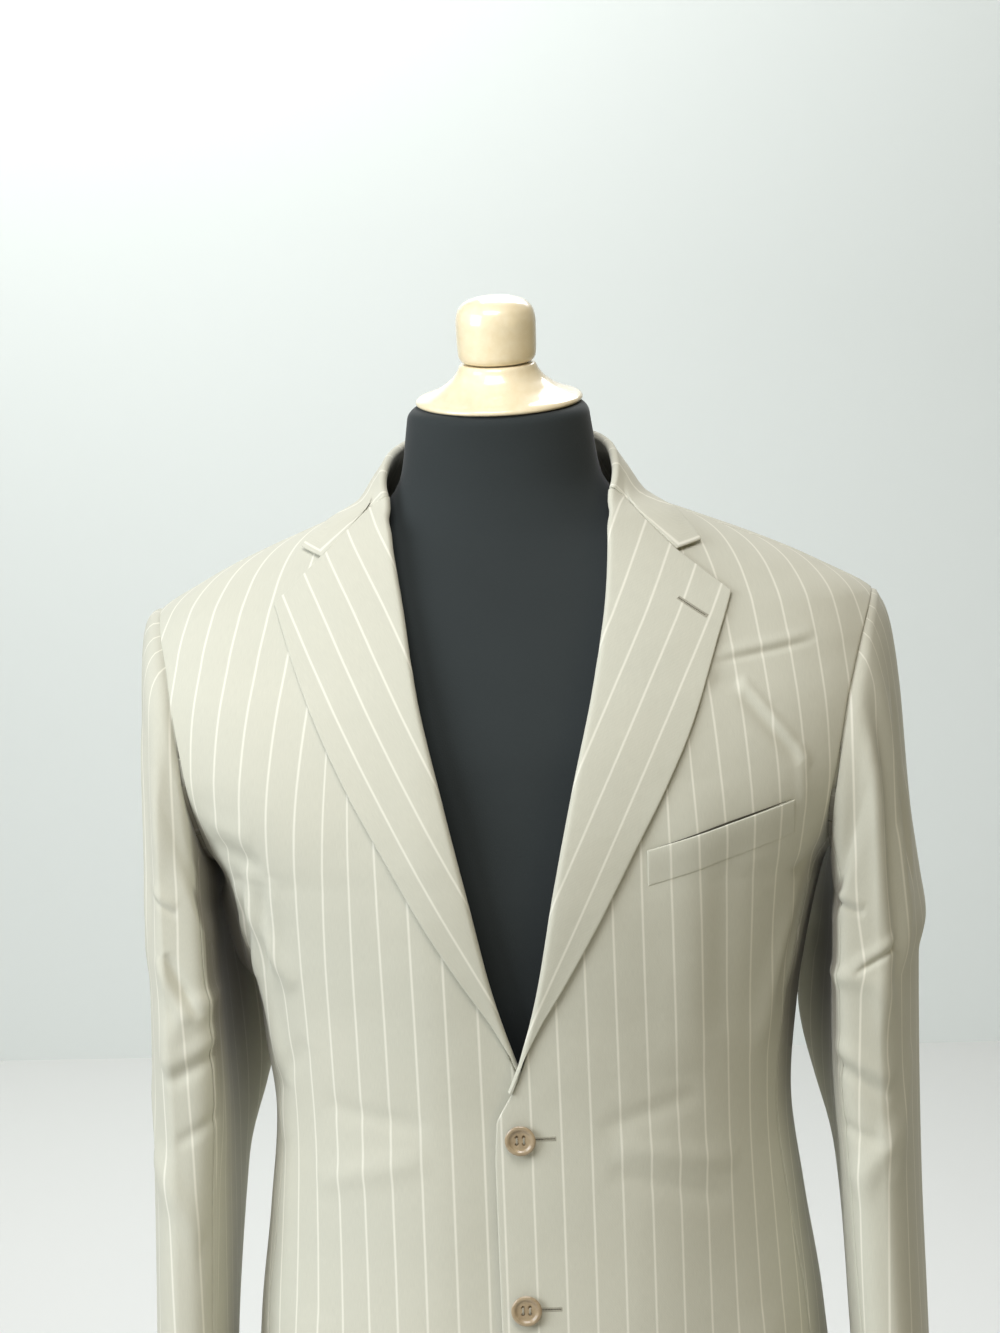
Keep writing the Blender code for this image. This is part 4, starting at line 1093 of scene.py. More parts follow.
def place_piece(name, data, slot, *nodes):
    """An object of a finished mesh that rides on the body, which hides what it replaces; the slot is
    not used.
    """
    piece = bpy.data.objects.new(name, data)
    bpy.context.scene.collection.objects.link(piece)
    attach(piece, "root")
    if nodes:
        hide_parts(*nodes)
    return piece


def arm_shade(points, normals, facing):
    """How far a place faces the gap between the jacket's body and a sleeve, 0 to 1."""
    turned = facing * np.sign(points[..., 0]) * normals[..., 0]
    faced = ease((turned - ARM_SHADE_TURN[0]) / ARM_SHADE_TURN[1])
    return faced * ease((points[..., 2] - ARM_SHADE_FOOT[0]) / ARM_SHADE_FOOT[1])


def shell(node, skin, across, up, thickness, cut, facing=0):
    """A fine wall behind skin(across, up) with rounded edges, which replaces a node.

    cut(across, up) gives the place on the flat cloth. Facing is 1 for a piece of the body that
    faces a sleeve, -1 for a sleeve that faces the body, and 0 for all others.
    """
    columns = len(across) - 1
    rows = len(up) - 1
    grid_across, grid_up = np.meshgrid(across, up)
    points, normals = skin(grid_across, grid_up)
    points = leaning(points)
    along = run_along(points, 1)
    risen = run_along(points, 0)
    edge = np.minimum(np.minimum(along, along[:, -1:] - along), np.minimum(risen, risen[-1:] - risen))
    near = 1 - np.clip(edge / ROUNDING, 0.0, 1.0)
    dip = thickness * ROUNDED * (1 - np.sqrt(1 - near * near))
    outer = points - normals * dip[..., None]
    inner = points - normals * (thickness - dip)[..., None]

    shape = slab(columns, rows)
    data = bpy.data.meshes.new(node)
    shape.to_mesh(data)
    shape.free()
    marks = np.empty(len(data.vertices) * 3)
    data.vertices.foreach_get("co", marks)
    marks = marks.reshape(-1, 3)
    column_of = np.rint((marks[:, 0] + 0.5) * columns).astype(int)
    row_of = np.rint((marks[:, 1] + 0.5) * rows).astype(int)
    behind = (marks[:, 2] < -0.5)[:, None]
    places = np.where(behind, inner[row_of, column_of], outer[row_of, column_of])
    data.vertices.foreach_set("co", places.ravel())
    data.update()

    corners = np.empty(len(data.loops), int)
    data.loops.foreach_get("vertex_index", corners)
    cloth_u, cloth_v = cut(grid_across, grid_up)
    cloth_place = np.stack([cloth_u + 0.0 * points[..., 0], cloth_v + 0.0 * points[..., 0]], axis=-1)
    layer = data.uv_layers.new(name="cut")
    layer.data.foreach_set("uv", cloth_place[row_of, column_of][corners].ravel())
    if facing:
        shade = arm_shade(points, normals, facing)[row_of, column_of]
        data.attributes.new("arm_shade", "FLOAT", "POINT").data.foreach_set("value", shade.ravel())

    middle = next(face for face in data.polygons if not behind[list(face.vertices)].any())
    outward_there = normals[row_of[middle.vertices[0]], column_of[middle.vertices[0]]]
    if np.dot(middle.normal, outward_there) < 0:
        data.flip_normals()
    data.shade_smooth()

    data.materials.append(bpy.data.materials["suit_cloth_finish"])
    piece = place_piece(node + "_cloth", data, "suit_cloth", node)
    diagonals = outer[1:, 1:] - outer[:-1, :-1], outer[1:, :-1] - outer[:-1, 1:]
    area = np.linalg.norm(np.cross(*diagonals), axis=-1).sum() / 2
    size = (float(along[:, -1].max()), float(risen[-1].max()))
    area = min(float(area), size[0] * size[1])


def front_cut(angle, height, side):
    """Cut coordinates of the front, whose stripes swing outwards over the chest."""
    first, distance, swing_height = FRONT_STRIPES[side]
    arc = body_arc(angle, height)
    swing = STRIPE_SWING * np.maximum(height - swing_height, 0.0) ** 2
    swing = swing * ease((arc - SWING_REACH[0]) / (SWING_REACH[1] - SWING_REACH[0]))
    return (arc + swing - first) * STRIPE_PITCH / distance, height


def body_rows():
    """Heights of the rows of a front or back, closer towards the underarm and shoulder tip."""
    bottom = BODY[0][0]
    underarm = ARMHOLE[0][0]
    low = between(bottom, underarm, spread(underarm - bottom, GRID))
    turn = np.linspace(0.0, math.pi, round((SHOULDER_TIP - underarm) / GRID * ROW_DENSITY))
    middle = between(underarm, SHOULDER_TIP, (1 - np.cos(turn)) / 2)
    high = between(SHOULDER_TIP, NECK_POINT, spread(NECK_POINT - SHOULDER_TIP, GRID))
    return np.unique(np.concatenate([low[:-RIM_ROWS], middle, high[RIM_ROWS:]]).round(6))


def outer_limit(height, side_seam):
    """How far round a front or back goes: to its side seam, and higher to the shoulder seam."""
    shoulder = 90.0 - SHOULDER_SEAM_TURN
    return np.where(height < ARMHOLE_WIDEST, side_seam - SEAM_TURN, shoulder)


def jacket_front(side):
    """From the front edge to the armhole and the side seam; the left one's grid is finer at creases."""
    def place(share, height):
        outer = np.minimum(armhole_angle(height, side), outer_limit(height, FRONT_SEAM_ANGLE))
        return between(front_edge_angle(height), outer, share), height

    def skin(share, height):
        return on_body(*place(share, height), 0.0, side)

    def cut(share, height):
        return front_cut(*place(share, height), side)

    across = spread(ROUGH_WIDTH["front"], GRID)
    rows = body_rows()
    if side > 0:
        across = finer(across, *FINE_CHEST_SHARE, FINE_CHEST_PARTS[0])
        rows = finer(rows, *FINE_CHEST_HEIGHT, FINE_CHEST_PARTS[1])
    shell(f"jacket_front_{side_name(side)}", skin, across, rows, CLOTH, cut)


def jacket_side(side):
    """The panel under the arm, between the side seams."""
    bottom = BODY[0][0]
    start = FRONT_SEAM_ANGLE + SEAM_TURN
    end = BACK_SEAM_ANGLE - SEAM_TURN

    def place(share, up):
        angle = between(start, end, share)
        return angle, between(bottom, underarm_height(angle) - SEAM, up)

    def skin(share, up):
        return on_body(*place(share, up), 0.0, side)

    def cut(share, up):
        angle, height = place(share, up)
        return body_arc(angle, height) * STRIPE_PITCH / PLAIN_PITCH, height

    across = spread(ROUGH_WIDTH["side"], PLAIN_GRID)
    up = spread(ARMHOLE[0][0] - bottom, PLAIN_GRID)
    shell(f"jacket_side_{side_name(side)}", skin, across, up, CLOTH, cut, facing=1)


def neck_height(angle):
    """Height of the neck seam, which rises from the shoulder seam to the centre back."""
    return between(NECK_POINT, NECK_BACK, ease((angle - 90) / 90))


def jacket_back(side):
    """From the armhole and the side seam to the centre seam."""
    def place(share, height):
        limit = outer_limit(height, 180 - BACK_SEAM_ANGLE)
        outer = 180 - np.minimum(armhole_angle(height), limit)
        angle = between(outer, 180 - angle_at(SEAM / 2, height), share)
        above = np.clip((height - SHOULDER_TIP) / (NECK_POINT - SHOULDER_TIP), 0.0, 1.0)
        return angle, height + above * (neck_height(angle) - NECK_POINT)

    def skin(share, height):
        return on_body(*place(share, height), 0.0, side)

    def cut(share, height):
        angle, height = place(share, height)
        from_centre = body_arc(180.0, height) - body_arc(angle, height)
        return from_centre * STRIPE_PITCH / PLAIN_PITCH + STRIPE_PITCH / 2, height

    across = spread(ROUGH_WIDTH["back"], BACK_GRID)
    shell(f"jacket_back_{side_name(side)}", skin, across, body_rows(), CLOTH, cut)


def bent(start, normal, over, bend, turn, depth):
    """A point of a fold that starts on the cloth's inner face and turns over its edge."""
    turn = np.radians(turn)[..., None]
    rise = -depth + bend[..., None] * (1 - np.cos(turn))
    point = start + normal * rise + over * bend[..., None] * np.sin(turn)
    return point, over * np.sin(turn) - normal * np.cos(turn)


def lapel(side):
    """The fold first, across 0 to 1, then the face that lies on the front, 1 to 2."""
    foot = place_of(LAPEL_FOOT)

    def start_of(up):
        place = between(foot, 1.0 - GORGE_GAP, up)
        bend = lapel_bend(place)
        return bend, *fold_frame(place, bend)

    def flat_place(across, up, start):
        share = np.clip(across - 1, 0.0, 1.0)
        _, start_height = locate(start)
        edge_height = between(LAPEL_FOOT, LAPEL_EDGE[-1][0], up)
        x = between(start[..., 0], read(LAPEL_EDGE, edge_height, 1), share)
        height = between(start_height, edge_height, share)
        notch, _, tip = SETTLED[side]
        inwards, down = (np.interp(share, (0, NOTCH_SHARE, 1), (0, *ends)) for ends in zip(notch, tip))
        x = x - inwards * ease((height - SETTLES_IN[0]) / SETTLES_IN[1])
        return x, height - down * ease((height - SETTLES_DOWN[0]) / SETTLES_DOWN[1]), share

    def skin(across, up):
        bend, start, normal, over = start_of(up)
        base = on_body(*locate(start), 0.0, side)[0] * (side, 1.0, 1.0)
        folded = on_side(*bent(base, normal, over, bend, 180 * across, CLOTH), side)
        x, height, share = flat_place(across, up, start)
        lift = between(2 * bend - CLOTH, LAPEL_EDGE_LIFT, ease(share))
        flat = on_body(angle_at(x, height), height, lift, side)
        lies_flat = (across > 1)[..., None]
        return [np.where(lies_flat, *pair) for pair in zip(flat, folded)]

    def cut(across, up):
        stripe_x, stripe_height, lean, distance = LAPEL_STRIPES[side]
        bend, start, _, _ = start_of(up)
        x, height, _ = flat_place(across, up, start)
        straight = math.hypot(1.0, lean)
        from_stripe = (x - stripe_x - lean * (height - stripe_height)) / straight
        round_fold = math.pi * bend * np.clip(1 - across, 0.0, 1.0)
        along = (height + lean * x) / straight
        return (from_stripe - round_fold) * STRIPE_PITCH / distance, along

    fold = np.linspace(0, 1, FOLD_COLUMNS)[:-1]
    face = 1 + spread(ROUGH_WIDTH["lapel"], EDGE_GRID)[RIM_ROWS:]
    up = spread(LAPEL_LENGTH, EDGE_GRID)
    shell(f"lapel_{side_name(side)}", skin, np.append(fold, face), up, LAPEL_CLOTH, cut)


def collar():
    """Its stand, up 0 to 1, its fold, 1 to 2, and its fall, 2 to 3; -1 and 1 are its ends."""
    gorge, _, _ = fold_frame(1.0, COLLAR_BEND)
    notch_x = between(gorge[0], LAPEL_EDGE[-1][1], NOTCH_SHARE)
    notch_height = between(gorge[2], LAPEL_EDGE[-1][0], NOTCH_SHARE)
    gorge_length = math.hypot(notch_x - gorge[0], notch_height - gorge[2])
    corner_length = math.hypot(COLLAR_CORNER[0] - notch_x, COLLAR_CORNER[1] - notch_height)
    notch = gorge_length / (gorge_length + corner_length)
    corner_angle = float(angle_at(COLLAR_CORNER[0], COLLAR_CORNER[1]))

    def skin(across, up):
        side = np.where(across < 0, -1.0, 1.0)
        share = 1 - np.abs(across)
        bend = COLLAR_BEND + 0.0 * share
        start, normal, over = fold_frame(1 + share, bend)
        start_angle, start_height = locate(start)
        seam_angle = between(float(fold_line(1.0)[0]), 180.0, share)
        stand_angle = between(seam_angle, start_angle, np.clip(up, 0, 1))
        seam_height = neck_height(seam_angle) + FOLD_GAP
        stand_height = between(seam_height, start_height, np.clip(up, 0, 1))
        stand, stand_normal = on_body(stand_angle, stand_height, -CLOTH, 1)
        turn = 180 * np.clip(up - 1, 0, 1)
        folded, folded_normal = bent(start, normal, over, bend, turn, CLOTH)
        fall = np.clip(up - 2, 0, 1)
        edge_angle = between(corner_angle, 180.0, share)
        angle = between(start_angle, edge_angle, fall)
        height = between(start_height, read(COLLAR_EDGE, share, 1), fall)
        end_x = np.interp(fall, (0, notch, 1), (gorge[0], notch_x, COLLAR_CORNER[0]))
        end_height = np.interp(fall, (0, notch, 1), (gorge[2], notch_height, COLLAR_CORNER[1]))
        (notch_in, notch_down), (corner_in, corner_down), _ = SETTLED[1]
        end_x = end_x - (side > 0) * np.interp(fall, (0, notch, 1), (0, notch_in, corner_in))
        settled = np.interp(fall, (0, notch, 1), (0, notch_down, corner_down))
        end_height = end_height - (side > 0) * settled
        end_angle = angle_at(end_x, end_height)
        straight_angle = between(angle_at(gorge[0], gorge[2]), corner_angle, fall)
        straight_height = between(gorge[2], COLLAR_CORNER[1], fall)
        pull = np.clip(1 - share / NOTCH_REACH, 0, 1) ** 2
        angle = angle + pull * (end_angle - straight_angle)
        height = height + pull * (end_height - straight_height)
        lift = between(2 * COLLAR_BEND - CLOTH, COLLAR_EDGE_LIFT, ease(fall))
        lift = lift + COLLAR_ARCH * 4 * fall * (1 - fall) * (1 - pull)
        flat, flat_normal = on_body(angle, height, lift, 1)
        on_stand = (up < 1)[..., None]
        on_fall = (up > 2)[..., None]
        point = np.where(on_stand, stand, np.where(on_fall, flat, folded))
        face = np.where(on_stand, -stand_normal, np.where(on_fall, flat_normal, folded_normal))
        flip = np.stack([side, np.ones_like(side), np.ones_like(side)], axis=-1)
        return point * flip, face * flip

    places = np.linspace(2.0, 1.0, LINE_SAMPLES)
    fold_points = ring(BODY, *fold_line(places))
    gone = gone_along(fold_points)

    def cut(across, up):
        from_centre = np.interp(np.abs(across), 2.0 - places, gone)
        return np.sign(across) * from_centre * STRIPE_PITCH / PLAIN_PITCH, up * COLLAR_STAND

    half = spread(gone[-1], EDGE_GRID)[RIM_ROWS:]
    across = np.append(-half[:0:-1], half - half[0])
    across = across / across[-1]
    stand = spread(COLLAR_STAND, GRID)[:-RIM_ROWS]
    fold = np.linspace(1, 2, COLLAR_FOLD_ROWS)
    to_notch = 2 + np.linspace(0, notch, NOTCH_ROWS)[1:]
    to_corner = 2 + between(notch, 1.0, spread(COLLAR_END, EDGE_GRID)[RIM_ROWS:])
    up = np.unique(np.concatenate([stand, fold, to_notch, to_corner]).round(6))
    shell("collar", skin, across, up, COLLAR_CLOTH, cut)


def sleeve_ring(angle, station, side):
    """The point of a sleeve at an angle, 0 outer, 90 front, 180 inner, of a station."""
    stations = np.arange(len(SLEEVE), dtype=float)
    outer_x, outer_z, inner_x, inner_z, centre_y, depth = (
        smooth_at(station, stations, column(SLEEVE, index)) for index in range(6)
    )
    sine = np.sin(np.radians(angle))
    cosine = np.cos(np.radians(angle))
    outer_front, inner_front, back = (read(SLEEVE_SQUARENESS, station, place) for place in (1, 2, 3))
    power = np.where(sine < 0, back, np.where(cosine > 0, outer_front, inner_front))
    reach = (np.abs(cosine) ** power + np.abs(sine) ** power) ** (-1 / power)
    cosine = cosine * reach
    sine = sine * reach
    x = (outer_x + inner_x) / 2 + cosine * (outer_x - inner_x) / 2
    x = x + read(SLEEVE_HANG[side], station, 1) * np.maximum(cosine, 0.0)
    for table, place in ((LEAN_IN, LEAN_IN_ANGLE), (FRONT_LEAN, FRONT_LEAN_ANGLE)):
        x = x - read(table, station, 1) * hump(angle % 360, *place)
    z = (outer_z + inner_z) / 2 + cosine * (outer_z - inner_z) / 2
    return np.stack([x, centre_y - depth * sine, z], axis=-1)


def armhole_place(angle, side):
    """The body's angle and height where the armhole meets the sleeve's angle."""
    bottom = ARMHOLE[0][0]
    height = (SHOULDER_TIP + bottom) / 2 + np.cos(np.radians(angle)) * (SHOULDER_TIP - bottom) / 2
    height = np.clip(height, bottom + JUST_INSIDE, SHOULDER_TIP - JUST_INSIDE)
    on_front = np.sin(np.radians(angle)) > 0
    return np.where(on_front, armhole_angle(height, side), 180 - armhole_angle(height)), height


def sleeve_surface(angle, station, side):
    """The sleeve's even surface, which settles onto the armhole over its first stations."""
    top = sleeve_ring(angle, 0.0 * station, side)
    settle = np.clip(1 - station / SLEEVE_SETTLES, 0.0, 1.0)[..., None] ** 2
    armhole = ring(BODY, *armhole_place(angle, side))
    point = sleeve_ring(angle, station, side) + settle * (armhole - top)
    under = (1 - np.cos(np.radians(angle)))[..., None] / 2
    gap = between(SLEEVE_GAP, UNDERARM_GAP, under)
    return point + settle * gap * np.array([1.0, 0.0, 0.0])


sleeve_arc = {
    side: arc_reader(
        lambda angle, station, side=side: sleeve_surface(angle, station, side) * LEVEL,
        np.arange(*SLEEVE_ROUND),
        np.linspace(0.0, len(SLEEVE) - 1, SLEEVE_ARC_SAMPLES),
    )
    for side in (1, -1)
}


def sleeve_cut(angle, station, side):
    """Distance across the sleeve's cloth, whose stripes stay upright on its rounded head."""
    above = BICEPS_STATION - station
    head = BICEPS_STATION - (above + np.hypot(above, BICEPS_BLEND)) / 2
    point = sleeve_surface(angle, head, side)
    turns = np.linspace(*SLEEVE_ROUND, SLEEVE_CUT_SAMPLES)
    tube = sleeve_surface(turns, 0.0 * turns + BICEPS_STATION, side)
    gone = sleeve_arc[side](turns, 0.0 * turns + BICEPS_STATION)

    def upright(first, last, axis):
        chosen = (turns >= first) & (turns <= last)
        line = tube[chosen, axis]
        order = np.argsort(line)
        return np.interp(point[..., axis], line[order], gone[chosen][order])

    outer = upright(-90.0, 90.0, 1)
    front = upright(0.0, 180.0, 0)
    back = upright(SLEEVE_ROUND[0], 0.0, 0)
    inner = upright(90.0, SLEEVE_ROUND[1], 1)
    inner_back = np.interp(angle, turns, gone)
    place = between(outer, front, ease((angle - TO_FRONT) / TURN_BLEND))
    behind = between(outer, back, ease((-TO_FRONT - angle) / TURN_BLEND))
    place = np.where(angle < 0, behind, place)
    place = between(place, inner, ease((angle - TO_INNER) / TURN_BLEND))
    place = between(place, inner_back, ease((angle - TO_INNER_BACK) / TURN_BLEND))
    return place + sleeve_arc[side](angle, station) - sleeve_arc[side](angle, head)


def on_sleeve(angle, station, lift, side):
    """Points of a sleeve moved out by lift, with its creases and the outward normals there."""
    angle, station = np.broadcast_arrays(np.asarray(angle, float), np.asarray(station, float))
    surface = partial(sleeve_surface, side=side)
    normal = outward(surface, angle, station, height_step=STATION_STEP)
    point = surface(angle, station)
    arc = sleeve_arc[side](angle, station)
    start = sleeve_arc[side](TOP_SLEEVE[0], station)
    round_arm = sleeve_arc[side](TOP_SLEEVE[0] + 360.0, station) - start
    near_arc = np.where(arc > round_arm / 2, arc - round_arm, arc)
    height = point[..., 2]
    worn = creased(SLEEVE_CREASES, side, arc, height)
    worn = worn + creased(SLEEVE_CREASES, side, near_arc, height) * (near_arc < arc)
    worn = worn + waviness(np.abs(arc), height + SLEEVE_WAVE_SHIFT * side)
    folds = fold_lift(SLEEVE_FOLDS, side, angle, station, SLEEVE_DEGREE, SLEEVE_STATION)
    middle, half_width, head = SLEEVE_HEAD
    outer = (1 + np.cos(np.radians(angle))) / 2
    filled = head * outer * hump(station, middle, half_width)
    folds = folds + filled * ease(station / SLEEVE_HEAD_STARTS)
    folds = folds + worn * ease((station - SLEEVE_QUIET[0]) / SLEEVE_QUIET[1])
    dip, reach = SEAM_DIP
    folds = folds - dip * hump(station, 0.0, reach)
    return on_side(point + normal * (lift + folds)[..., None], normal, side)


def tucked(angle, share, side):
    """The sleeve's seam allowance, which goes in under the body's cloth."""
    length, depth = TUCK
    point, normal = on_body(*armhole_place(angle, side), 0.0, 1)
    under = (1 - np.cos(np.radians(angle))) / 2
    drop = -TUCK_DROP * under**TUCK_DROP_POWER
    way = np.stack([-1.0 + 0.0 * under, 0.0 * under, drop], axis=-1)
    way = unit(way - normal * (way * normal).sum(axis=-1, keepdims=True))
    sunk = SEAM_DIP[0] + (depth - SEAM_DIP[0]) * ease(share / TUCK_SINKS_BY)
    point = point + way * (length * share**TUCK_POWER)[..., None] - normal * sunk[..., None]
    return on_side(point, normal, side)


def sleeve(side):
    """The top sleeve and the under sleeve, each with the allowance that goes into the armhole."""
    top_start, top_end = TOP_SLEEVE
    halves = (
        ("sleeve_top_", top_start, top_end, SLEEVE_GRID),
        ("sleeve_under_", top_end, top_start + 360, BACK_GRID),
    )
    for name, start, end, grid in halves:
        start = start + SLEEVE_SEAM_TURN
        end = end - SLEEVE_SEAM_TURN

        turns = np.linspace(start, end, LINE_SAMPLES)
        gone = run_along(sleeve_surface(turns, 0.0 * turns + BICEPS_STATION, side), 0)
        gone = gone / gone[-1]

        def skin(share, station, gone=gone, turns=turns):
            turn = np.interp(share, gone, turns)
            point, normal = on_sleeve(turn, np.maximum(station, 0.0), 0.0, side)
            tuck, tuck_normal = tucked(turn, np.maximum(-station, 0.0), side)
            inside = (station < 0)[..., None]
            return np.where(inside, tuck, point), np.where(inside, tuck_normal, normal)

        def cut(share, station, gone=gone, turns=turns):
            turn = np.interp(share, gone, turns)
            arc = sleeve_cut(turn, np.maximum(station, 0.0), side) - SLEEVE_STRIPE[side]
            return arc * STRIPE_PITCH / PLAIN_PITCH, station * SLEEVE_STATION

        def line(at, middle=(start + end) / 2):
            return sleeve_surface(middle + 0.0 * at, at, side)

        across = spread(ROUGH_WIDTH[name], grid)
        stations = evenly(line, 0.0, len(SLEEVE) - 1.0, grid)
        if name == "sleeve_top_":
            across = finer(across, *FINE_SLEEVE_SHARE, FINE_SLEEVE_PARTS)
            stations = finer(stations, *FINE_SLEEVE_STATION, FINE_SLEEVE_PARTS)
        stations = np.append(TUCK_PLACES, stations)
        shell(name + side_name(side), skin, across, stations, CLOTH, cut, facing=-1)


def pocket_mouth():
    """The pocket's slit above the welt: a narrow lens that lies in the front's cloth, dark with painted
    shade.
    """
    (start_x, start_height), (end_x, end_height) = WELT
    shape = bmesh.new()
    rows = []
    for share in np.linspace(0.0, 1.0, POCKET_POINTS):
        x = between(start_x + POCKET_INSET, end_x - POCKET_INSET, share)
        height = between(start_height, end_height, share)
        opened = POCKET_LEAST + (1 - POCKET_LEAST) * math.sin(math.pi * share) ** 2
        closed_end = min(1.0, POCKET_TAPER * share, POCKET_TAPER * (1 - share))
        gape = POCKET_GAPE * opened * closed_end
        row = []
        for up, lift in POCKET_ROWS:
            point, _ = on_body(angle_at(x, height), height + gape * up, lift, 1)
            row.append(shape.verts.new(leaning(point)))
        rows.append(row)
    for row, beyond in zip(rows, rows[1:]):
        for index in range(len(POCKET_ROWS) - 1):
            shape.faces.new((row[index], beyond[index], beyond[index + 1], row[index + 1]))
    bmesh.ops.recalc_face_normals(shape, faces=shape.faces)
    data = bpy.data.meshes.new("pocket_mouth")
    shape.to_mesh(data)
    shape.free()
    data.shade_smooth()
    # The strip's dark finish is painted shade in the pocket's opening
    data.materials.append(bpy.data.materials["pocket_lining_finish"])
    place_piece("pocket_mouth", data, "suit_cloth")


def breast_welt():
    """The breast pocket's welt, which stands open a little at its middle."""
    (start_x, start_height), (end_x, end_height) = WELT

    def place(share, up):
        x = between(start_x, end_x, share)
        height = between(start_height, end_height, share) - WELT_HEIGHT * (1 - up)
        return angle_at(x, height), height

    def skin(share, up):
        open_share = 4 * share * (1 - share)
        lift = between(WELT_SEAM_LIFT, WELT_LIFT + WELT_ARCH * open_share, ease(up))
        return on_body(*place(share, up), lift, 1)

    def cut(share, up):
        return front_cut(*place(share, up), 1)

    across = spread(end_x - start_x, EDGE_GRID)
    shell("breast_welt", skin, across, spread(WELT_HEIGHT, EDGE_GRID), WELT_CLOTH, cut)
    pocket_mouth()


def flap(side):
    """A hip pocket's flap, which lies on the front."""
    def place(share, up):
        return between(*FLAP_ANGLES, share), between(*FLAP_HEIGHTS, up)

    def skin(share, up):
        return on_body(*place(share, up), FLAP_LIFT, side)

    def cut(share, up):
        return front_cut(*place(share, up), side)

    across = spread(ROUGH_WIDTH["flap"], EDGE_GRID)
    up = spread(FLAP_HEIGHTS[1] - FLAP_HEIGHTS[0], EDGE_GRID)
    shell(f"flap_{side_name(side)}", skin, across, up, FLAP_CLOTH, cut)


def centre_seam_angle(height):
    """How far past the front a leg reaches: to the centre above the fork, else the inseam."""
    to_centre = angle_at(read(TROUSERS, height, 5) - SEAM, height, TROUSERS)
    return np.where(height > FORK, to_centre, 90.0 - SEAM_TURN * 2)


def leg_edge(angle, height):
    """0 at a leg's inner and centre seams, 1 a little way from them."""
    limit = 180 + 2 * centre_seam_angle(height)
    return ease((limit / 2 - np.abs(angle - 90.0)) / LEG_SEAM_QUIET)


def crease_angle(height):
    """The angle of the crease pressed into a leg's front."""
    return angle_at(CREASE_X - read(TROUSERS, height, 5), height, TROUSERS)


def on_leg(angle, height, lift, side):
    """Points of a trouser leg moved out by lift, with the outward normals there."""
    angle, height = np.broadcast_arrays(np.asarray(angle, float), np.asarray(height, float))
    normal = outward(partial(ring, TROUSERS), angle, height)
    arc = leg_arc(angle, height)
    from_front = arc - leg_arc(crease_angle(height), height)
    from_back = arc - leg_arc(180 - crease_angle(height), height)
    half_width, ridge, top = PRESSED_CREASE
    pressed = np.exp(-np.abs(from_front) / half_width) + np.exp(-np.abs(from_back) / half_width)
    fade = ease((top - height) / PRESSED_FADE)
    seam = ease((WAIST_SEAM - height) / WAIST_QUIET)
    side_seam = ease(np.abs(angle - 90.0) / LEG_SEAM_QUIET)
    folds = creased(LEG_CREASES, side, from_front, height) + waviness(arc, height) * LEG_WAVINESS
    lift = lift + ridge * pressed * fade + folds * seam * side_seam * leg_edge(angle, height)
    point = ring(TROUSERS, angle, height) + normal * np.asarray(lift)[..., None]
    return on_side(point, normal, side)


def trousers(side):
    """A leg's front and back, from the hem to the waist seam."""
    halves = (
        ("trouser_front_", lambda height: -centre_seam_angle(height), lambda height: 90.0),
        ("trouser_back_", lambda height: 90.0, lambda height: 180 + centre_seam_angle(height)),
    )
    hem = TROUSERS[0][0]
    below_fork = between(hem, FORK, spread(FORK - hem, LEG_GRID)[:-RIM_ROWS])
    above_fork = between(FORK, WAIST_SEAM, spread(WAIST_SEAM - FORK, LEG_GRID))
    rows = np.concatenate([below_fork, above_fork])
    across = spread(ROUGH_WIDTH["leg"], LEG_GRID)
    for name, start, end in halves:
        is_front = name == "trouser_front_"

        def turn(share, height, start=start, end=end):
            first = start(height) + (0.0 if is_front else SEAM_TURN * 2)
            last = end(height) - (SEAM_TURN * 2 if is_front else 0.0)
            return between(first, last, share)

        def skin(share, height, turn=turn):
            return on_leg(turn(share, height), height, 0.0, side)

        def cut(share, height, turn=turn, is_front=is_front):
            crease = crease_angle(height) if is_front else 180 - crease_angle(height)
            arc = leg_arc(turn(share, height), height) - leg_arc(crease, height)
            return arc * STRIPE_PITCH / PLAIN_PITCH, height

        shell(name + side_name(side), skin, across, rows, CLOTH, cut)


def waistband():
    """A band round the waist, open at the centre front."""
    def skin(share, height):
        return on_leg(between(*WAISTBAND_ENDS, share), height, WAISTBAND_LIFT, 1)

    def cut(share, height):
        return height, share

    across = spread(ROUGH_WIDTH["waistband"], LEG_GRID)
    heights = between(WAIST_SEAM + SEAM, WAIST_TOP, spread(WAIST_TOP - WAIST_SEAM, LEG_GRID))
    shell("waistband", skin, across, heights, WAISTBAND_CLOTH, cut)


def fly():
    """The fly's facing, which narrows to its foot."""
    start_x, end_x, bottom, top = FLY

    def place(share, up):
        height = between(bottom, top, up)
        x = between(start_x, end_x * ease(FLY_NARROWS + up), share)
        return angle_at(x, height, TROUSERS), height

    def skin(share, up):
        return on_leg(*place(share, up), FLY_LIFT, 1)

    def cut(share, up):
        turn, height = place(share, up)
        arc = leg_arc(turn, height) - leg_arc(crease_angle(height), height)
        return arc * STRIPE_PITCH / PLAIN_PITCH, height

    across = spread(ROUGH_WIDTH["fly"], GRID)
    shell("fly", skin, across, spread(FLY_LENGTH, GRID), FLY_CLOTH, cut)


def solid_piece(name, shape, slot, node, place=None):
    """A closed piece that replaces a node, from a shape that is cleaned and placed first."""
    bmesh.ops.remove_doubles(shape, verts=shape.verts, dist=MERGED)
    bmesh.ops.holes_fill(shape, edges=[edge for edge in shape.edges if edge.is_boundary], sides=0)
    bmesh.ops.recalc_face_normals(shape, faces=shape.faces)
    if place:
        bmesh.ops.transform(shape, matrix=place, verts=shape.verts)
    data = bpy.data.meshes.new(name)
    shape.to_mesh(data)
    shape.free()
    data.shade_smooth()
    data.set_sharp_from_angle(angle=math.radians(SHARP_ANGLE))
    data.materials.append(bpy.data.materials[slot + "_finish"])
    place_piece(name, data, slot, node)


